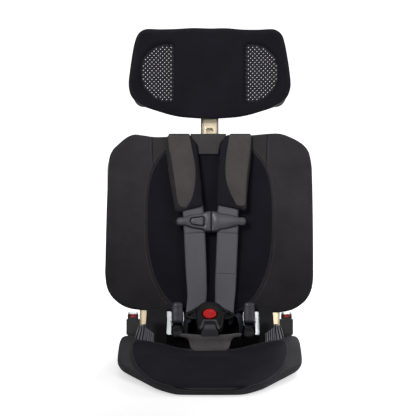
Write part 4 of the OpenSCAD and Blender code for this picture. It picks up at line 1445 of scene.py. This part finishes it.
# Its cloth is painted lighter to offset the shade it sits in.
attach(pillow("crotch_pad_soft",
              smooth_loop(resample(rounded(CROTCH_PAD, CROTCH_RADII, 6), 2.0), 1), "crotch",
              crotch_mid, crotch_front, lambda _, dist: round_edge(dist, 5, 2.6), on_hinge,
              step=4, rings=(0.5, 1.3, 2.4, 3.6, 4.8, 6.5)),
       "back_frame", "crotch_pad")

# ---------------------------------------------------------------- Headrest
HEAD_OUTLINE = loop([
    (0, 373.6), (45, 376), (70, 380), (89, 385), (108, 390.5), (123, 396), (133, 403.5),
    (140.5, 414), (144.4, 426), (145, 438), (142.8, 460), (138.8, 487), (134.8, 508),
    (130.5, 522), (123, 530.4), (112, 534.6), (90, 534.6), (60, 535.8), (30, 538.4),
    (0, 538.0), (-30, 538.8), (-60, 537.0), (-90, 535.2), (-112, 534.8), (-123, 530.5),
    (-130.5, 521.5), (-135.5, 506), (-139, 487), (-142.8, 460), (-145.2, 438),
    (-144.4, 424), (-140.5, 412), (-132, 402), (-121, 395), (-108, 390.5), (-89, 385),
    (-70, 380), (-45, 376)], 3.2)
VENT_RIGHT = resample(rounded([(65.4, 403.5), (122, 403.5), (122, 507), (65.4, 507)],
                              [5, 48, 48, 5], 12), 2.6)
VENT_LEFT = VENT_RIGHT[::-1] * [-1, 1]


def head_mid(pts):
    """Flat in the middle; the sides bend forward smoothly."""
    past = np.abs(pts[:, 0]) - 62
    bend = (0.5 * (past + np.sqrt(past ** 2 + 14 ** 2))
            - 0.5 * (-18 + math.sqrt(18 ** 2 + 14 ** 2)))
    return -6 - 0.287 * np.maximum(np.where(past > -18, bend, 0), 0)


def head_front(pts, dist):
    """Rounded edge with a soft roll inside it."""
    return (round_edge(dist, 10, 7.2) + 0.96 * bell(dist - 9, 5)
            + 0.4 * value_noise(pts, 42, 21) * ease(dist, 3, 12))


attach(pillow("headrest_cover_soft", HEAD_OUTLINE, ("head", "headedge"), head_mid, head_front,
              lambda _, dist: round_edge(dist, 9, 7.4), on_back, step=6.5,
              rings=(0.6, 1.6, 3.2, 5.5, 8.5), holes=[VENT_RIGHT, VENT_LEFT],
              region=lambda pts: np.where(edge_distance(pts, [HEAD_OUTLINE]) < 6.5, 1, 0)),
       "headrest", "headrest_cover")

NET_SPACING, NET_WIDTH, NET_THICK = 5.45, 4.3, 1.3
NET_DEPTH = -2.2  # from the headrest's middle surface
NET_ANGLE = math.radians(46)
NET_OVERRUN = 2.4  # how far the yarns run past the opening
NET_STEP = 3.4
# Hexagonal yarn section: (share of half width, share of half thickness).
YARN_SECTION = ((-1, 0), (-0.45, -1), (0.45, -1), (1, 0), (0.45, 1), (-0.45, 1))


def netting(name, opening):
    """Open netting of two crossing sets of flat yarns, cut to an opening."""
    centre = opening.mean(0)
    verts, faces, weave = [], [], []
    reach = int(95 / NET_SPACING)
    for sign in (1, -1):
        along = np.array([math.cos(NET_ANGLE), sign * math.sin(NET_ANGLE)])
        across = np.array([-along[1], along[0]])
        for j in range(-reach, reach + 1):
            origin = centre + across * j * NET_SPACING
            run = np.arange(-90, 90, 1.0)
            points = origin + along * run[:, None]
            within = inside(points, opening) | (edge_distance(points, [opening]) < NET_OVERRUN)
            if within.sum() < 6:
                continue
            start, end = run[within].min(), run[within].max()
            count = max(3, int((end - start) / NET_STEP))
            run = np.linspace(start, end, count)
            points = origin + along * run[:, None]
            depth = head_mid(points) + NET_DEPTH + sign * NET_THICK * 0.32
            faces += tube_faces(count, len(YARN_SECTION), first=len(verts))
            for i in range(count):
                for side, lift in YARN_SECTION:
                    x, rise = points[i] + across * side * NET_WIDTH / 2
                    verts.append((x, depth[i] + lift * NET_THICK / 2, rise))
                    weave.append((side * NET_WIDTH, run[i], lift))
    return make(name, np.array(verts), faces, weave, "lattice", on_back)


for letter, opening, replaced in (("r", VENT_RIGHT, "headrest_vents"), ("l", VENT_LEFT, None)):
    attach(netting("vent_net_" + letter, opening), "headrest", replaced)
    attach(cord("vent_hem_" + letter, resample(opening, 2.5), lambda pts: head_mid(pts) - 1.5,
                1.5, "headedge", on_back), "headrest")

# ---------------------------------------------------------------- Seat pan cloth
# Half outlines (x, reach): the cover, its opening before the inset, and the mesh insert.
SEAT_OUTLINE = loop(both_halves([
    (0, 56.5), (40, 56), (72, 50), (96, 41), (112, 32), (124, 21), (137, 14.5),
    (149, 15.5), (156.5, 24), (159.5, 42), (160.3, 70), (160.4, 105), (158.8, 130),
    (150.6, 156), (135, 180), (117.5, 204), (104, 223), (91.5, 239.5), (76, 254),
    (57, 266.2), (38, 268.6), (0, 269)]), 3.4)
SEAT_OPENING = inset(loop(both_halves([
    (0, 60.5), (40, 60), (72, 54.5), (97, 46.5), (116, 41), (127, 41.5), (132.5, 50),
    (134.3, 74), (133.8, 101), (129.5, 136), (121.5, 176), (105, 216), (87, 240),
    (72, 247.5), (56, 249), (38, 249), (0, 249)]), 3.4), 8.0)
INSERT_OUTLINE = loop(both_halves([
    (0, 58.5), (40, 58), (72, 53.5), (97, 46), (116, 40.5), (128, 41), (134, 50),
    (135.6, 74), (135, 101), (131, 136), (123, 176), (106.5, 217), (91, 243), (77, 257),
    (60, 266.4), (38, 269.2), (0, 269.6)]), 4.2)


def rear_dip(pts):
    """The rear edge of the cloth sags between the two sides."""
    return (-14.5 * np.exp(-np.abs(pts[:, 0] / 74.0) ** 2.6)
            * ease(118 - pts[:, 1], 0, 60))


def front_lip(pts):
    """The cloth rolls down over the front edge."""
    return -7.5 * ease(pts[:, 1], 262, 271) ** 1.4


def seat_top(pts):
    x, reach = np.abs(pts[:, 0]), pts[:, 1]
    side = 3.2 * ease(x, 126, 150) * ease(150 - reach, 0, 90)
    return 6.4 + side + rear_dip(pts) + 0.3 * value_noise(pts, 36, 31)


def seat_bottom(pts):
    x, reach = np.abs(pts[:, 0]), pts[:, 1]
    thin = (1 - ease(x, 84, 104)) * ease(118 - reach, 0, 60)
    return -6.6 * (1 - thin) + (seat_top(pts) - 2.6) * thin


def seat_half(pts, dist):
    """Half thickness, negative because height runs against pillow depth."""
    return round_edge(dist, 2.4, 1.0) * (seat_bottom(pts) - seat_top(pts)) / 2


def insert_mid(pts):
    """Sagging middle surface of the mesh insert."""
    reach = pts[:, 1]
    deep = np.maximum(edge_distance(pts, [INSERT_OUTLINE]) - 7, 0)
    sag = (-7.0 * (1 - np.exp(-(deep / 36.0) ** 1.3))
           * (1 - 0.25 * ease(reach, 170, 240)))
    return (8.2 + sag + rear_dip(pts) + front_lip(pts)
            + 0.5 * value_noise(pts, 44, 41) * ease(deep, 4, 20))


def insert_half(_, dist):
    return -round_edge(dist, 3.5, 1.3)


attach(pillow("seat_cover_soft", SEAT_OUTLINE, "seatcloth",
              lambda pts: (seat_bottom(pts) + seat_top(pts)) / 2, seat_half, seat_half,
              on_pan_cloth, step=6, rings=(0.6, 1.5, 3.0, 5.0), holes=[SEAT_OPENING]),
       "seat_pan", "seat_cover")
attach(pillow("seat_insert_soft", INSERT_OUTLINE, "seatmesh", insert_mid, insert_half,
              insert_half, on_pan_cloth, step=7, rings=(0.6, 1.6, 3.2)),
       "seat_pan", "seat_mesh")
attach(cord("seat_binding", resample(INSERT_OUTLINE, 2.8),
            lambda pts: 8.3 + rear_dip(pts) + front_lip(pts), 1.25, "seatcloth",
            on_pan_cloth), "seat_pan")

# ---------------------------------------------------------------- Cloth from back to seat
PANEL_SAG = 7.5
PLEAT_LIFT = 3.4  # pleats above the hip panel's mid surface


def blend_to_seat(obj, upper, lower):
    """Bakes the cloth's transform into its mesh; it does not make the cloth follow the backrest
    or the seat.
    """
    upper, lower = np.mean(upper, 0), np.mean(lower, 0)
    tuple(on_hinge(upper))
    tuple(on_hinge(lower * 0.96 + upper * 0.04))
    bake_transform(obj)


def hip_cloth(side, letter):
    # Plain panel beside the hip, from the backrest's lower edge towards the seat.
    inner = 76.4 if side < 0 else 87.6
    upper = np.array([back_to_hinge(side * x, -3.8, 31) for x in (inner, 98, 112.4)])
    lower = np.array([pan_to_hinge(side * inner, 49, -2), pan_to_hinge(side * 98, 44, -0.5),
                      pan_to_hinge(side * 112.4, 36, 0.5)])
    panel = quilt("hip_panel_" + letter, upper, lower, 2.2, "hip", columns=24, rows=20,
                  sag=PANEL_SAG)
    blend_to_seat(panel, upper, lower)

    # Pleats over the panel's lower, outer part.
    normal = np.cross(upper[2] - upper[0], lower[0] - upper[0])
    normal /= np.linalg.norm(normal)
    if normal[1] > 0:
        normal = -normal

    def on_panel(column, down):
        sag = PANEL_SAG * math.sin(math.pi * down) ** 0.5
        return (upper[column] * (1 - down) + lower[column] * down
                + normal * (sag + PLEAT_LIFT))

    pleats = quilt("seat_pleats_" + letter, [on_panel(1, 0.74), on_panel(2, 0.62)],
                   [on_panel(1, 0.98), on_panel(2, 0.98)], 1.4, "rib", columns=110, rows=14,
                   sag=0.6, ribs=4, rib_height=2.0)
    blend_to_seat(pleats, upper, lower)

    # Gathered strip along the seat's rear corner.
    upper = [back_to_hinge(side * 90, -9, 6), back_to_hinge(side * 106, -9, 5),
             back_to_hinge(side * 127, -9, 1)]
    lower = [pan_to_hinge(side * 88, 47, 1), pan_to_hinge(side * 104, 40.5, 3),
             pan_to_hinge(side * 132, 21, 5)]
    gather = quilt("seat_gather_" + letter, upper, lower, 1.6, "rib", columns=200, rows=12,
                   sag=1.0, ribs=10, rib_height=2.3)
    blend_to_seat(gather, upper, lower)
    if side < 0:
        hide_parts("seat_gathers")


for side, letter, _ in SIDES:
    hip_cloth(side, letter)

# Near-black liner across the middle, behind the buckle: a dark sheet that stands for the shade
# there.
attach(quilt("lower_shade_liner", [back_to_hinge(-63, -1.2, 34), back_to_hinge(0, -1.2, 30),
                             back_to_hinge(63, -1.2, 34)],
             [(-63, -21, -47), (0, -21, -47), (63, -21, -47)], 1.6, "void", columns=40,
             rows=24, sag=-9.0), "back_frame")

# ---------------------------------------------------------------- Rear webbing
for side, letter, _ in SIDES:
    x = side * 137.6
    path = [back_to_hinge(x, 10, -33), (x, -2, -44), (x, 26, -43.4), (x, 58, -42.6),
            (x, 88, -40), (x, 93, -31), (x, 80, -25), (x, 46, -25.4), (side * 137.4, 24, -30)]
    attach(tape("anchor_web_" + letter, spline(path, 80), (1, 0, 0), 17, "webblack", on_hinge),
           "back_frame", "anchor_straps" if side < 0 else None)

TETHER_X = 54.5


def tether_tape(name, stations, count, width):
    """Tape down the back through (depth, rise) stations."""
    return tape(name, spline([(TETHER_X, depth, rise) for depth, rise in stations], count),
                (1, 0, 0), width, "webblack", on_back)


attach(tether_tape("tether_web", [(17.6, 299), (17.4, 240), (17.2, 180), (17.2, 120),
                                  (17.3, 92), (17.8, 84)], 60, 25),
       "back_frame", "tether_strap")
attach(tether_tape("tether_fold", [(19.4, 210), (19.6, 170), (19.4, 122)], 30, 24),
       "back_frame")
attach(block("tether_keeper", rounded([(39.5, 150), (69.5, 150), (69.5, 162), (39.5, 162)],
                                      [3] * 4, 5),
             (16.3, 21.6), "black", on_back, radius=1.5, step=3),
       "back_frame")
attach(block("tether_patch", rounded([(40.5, 288), (68.5, 288), (68.5, 305), (40.5, 305)],
                                     [2] * 4, 4),
             (16.1, 19.3), "webblack", on_back, radius=0.8, step=3,
             relief=lambda x, z, dist: -0.3 * bell(dist - 2.6, 0.6)),
       "back_frame")

# ---------------------------------------------------------------- Finishes of the CAD pieces
FINISHES = {
    "gold": ["crossbars", "floor_crossbar", "wing_hoop_left", "wing_hoop_right",
             "post_guide", "seat_frame"],
    "goldv": ["side_frame_left", "side_frame_right"],
    "goldp": ["headrest_post"],
    "darksteel": ["crotch_anchor_rod"],
    "steel": ["harness_anchor_bar", "hinge_pins", "adjuster_brackets", "adjuster_pins",
              "connector_jaws", "tether_hook", "headrest_screws"],
    "spring": ["lock_spring"],
    "rubber": ["rubber_feet"],
    "blacksoft": ["release_bar", "base_panel", "connector_holders", "headrest_frame"],
    "black": ["frame_screws", "guide_collar", "lock_button", "hinge_washers",
              "connector_housings", "release_guides", "hinge_bushes"],
    "redo": ["connector_button_left", "connector_button_right"],
}


def finish_piece(obj, look):
    if len(obj.material_slots) == 0:
        obj.data.materials.append(LOOK[look])
    for slot in obj.material_slots:
        slot.link = "OBJECT"
        slot.material = LOOK[look]
    weld = obj.modifiers.new("weld", "WELD")
    weld.merge_threshold = 0.00002
    edge = obj.modifiers.new("edge", "BEVEL")
    edge.width = 0.0006 if look in ("steel", "spring") else 0.0008
    edge.segments = 2
    edge.limit_method = "ANGLE"
    edge.angle_limit = math.radians(40)


for look, names in FINISHES.items():
    for name in names:
        finish_piece(NODES[name], look)


# ---------------------------------------------------------------- Floor
def floor_material():
    """White paper that glows towards the camera to stay white; the glow is weaker near the seat,
    which paints shade round it.
    """
    shader = Shader("floor_paper")
    coords = shader.object_coords(scale=1.0)
    x, y, _ = shader.axes(coords)
    grain = shader.noise(coords, scale=3.0, detail=3)
    camera_ray = shader.new("ShaderNodeLightPath").outputs["Is Camera Ray"]
    away = shader.math("SQRT", shader.plus(shader.times(x, x), shader.times(y, y)))
    # Less glow within about 0.34 to 0.9 m of the seat: painted shade on the floor round the seat.
    glow_with_seat_shade = shader.scaled(shader.step(away, low=0.34, high=0.9), gain=0.38, offset=0.58)
    return shader.finish({
        "Base Color": shader.mix(grain, (0.86, 0.86, 0.86, 1), (0.9, 0.9, 0.9, 1)),
        "Roughness": shader.scaled(grain, gain=0.1, offset=0.28),
        "Specular IOR Level": 0.35,
        "Emission Color": (1, 1, 1, 1),
        "Emission Strength": shader.times(camera_ray, glow_with_seat_shade),
    })


FLOOR_HALF = 9
FLOOR_DROP = 0.0004  # keeps the floor just below the feet
floor_mesh = bpy.data.meshes.new("floor")
floor_mesh.from_pydata([(x * FLOOR_HALF, y * FLOOR_HALF, 0)
                        for x, y in ((-1, -1), (1, -1), (1, 1), (-1, 1))],
                       [], [(0, 1, 2, 3)])
floor = bpy.data.objects.new("floor", floor_mesh)
SCENE.collection.objects.link(floor)
floor_mesh.materials.append(floor_material())
floor.location.z = -FLOOR_DROP

# ---------------------------------------------------------------- World and lights
AMBIENT = 0.26  # how strongly the white studio lights the object; the camera sees it at 1
world = bpy.data.worlds.new("studio")
SCENE.world = world
world.use_nodes = True
background = world.node_tree.nodes["Background"]
background.inputs["Color"].default_value = (1, 1, 1, 1)
light_path = world.node_tree.nodes.new("ShaderNodeLightPath")
strength = world.node_tree.nodes.new("ShaderNodeMath")
strength.operation = "MULTIPLY_ADD"
strength.inputs[1].default_value = 1.0 - AMBIENT
strength.inputs[2].default_value = AMBIENT
world.node_tree.links.new(light_path.outputs["Is Camera Ray"], strength.inputs[0])
world.node_tree.links.new(strength.outputs[0], background.inputs["Strength"])


def area_light(name, place, aim, size, power, color=(1, 1, 1), spread=180):
    """Square area light; spread in degrees."""
    light = bpy.data.lights.new(name, "AREA")
    light.spread = math.radians(spread)
    light.shape = "SQUARE"
    light.size = size
    light.energy = power
    light.color = color
    obj = bpy.data.objects.new(name, light)
    SCENE.collection.objects.link(obj)
    obj.location = place
    direction = Vector(aim) - Vector(place)
    obj.rotation_euler = direction.to_track_quat("-Z", "Y").to_euler()
    return obj


area_light("key", (-0.9, -1.9, 1.7), (-0.02, 0.12, 0.57), size=0.7, power=2.0,
           color=(1, 0.99, 0.98), spread=28)
area_light("fill", (1.5, -1.7, 1.3), (0, 0.1, 0.46), size=1.0, power=1.1,
           color=(0.98, 0.99, 1), spread=50)
area_light("top", (0, 0.2, 2.4), (0, 0.1, 0.2), size=1.4, power=7)
area_light("rear", (0.9, 2.3, 1.3), (0, 0.15, 0.28), size=1.1, power=5, spread=60)
area_light("side_r", (2.2, 0.5, 1.0), (0, 0.1, 0.28), size=0.9, power=2.2, spread=60)
# This one lights only the bright metal.
metal_fill = area_light("metal_fill", (0.25, -2.2, 0.75), (0, 0.1, 0.3), size=0.8, power=0.30,
                        color=(1, 0.985, 0.96), spread=30)
receivers = bpy.data.collections.new("metal_receivers")
for look in ("gold", "goldv", "goldp", "steel"):
    for name in FINISHES[look]:
        receivers.objects.link(NODES[name])
metal_fill.light_linking.receiver_collection = receivers

# ---------------------------------------------------------------- Camera
CAMERA_TILT = 11  # degrees it looks down
CAMERA_RANGE = 3.6
CAMERA_AIM = (-0.00306, 0.110, 0.255)
camera_data = bpy.data.cameras.new("camera")
camera_data.lens = 173.076923
camera_data.sensor_width = 36
camera_data.clip_end = 50
camera = bpy.data.objects.new("camera", camera_data)
SCENE.collection.objects.link(camera)
tilt = math.radians(CAMERA_TILT)
camera.location = (CAMERA_AIM[0], CAMERA_AIM[1] - CAMERA_RANGE * math.cos(tilt),
                   CAMERA_AIM[2] + CAMERA_RANGE * math.sin(tilt))
camera.rotation_euler = (math.radians(90 - CAMERA_TILT), 0, 0)
SCENE.camera = camera

bpy.context.view_layer.update()
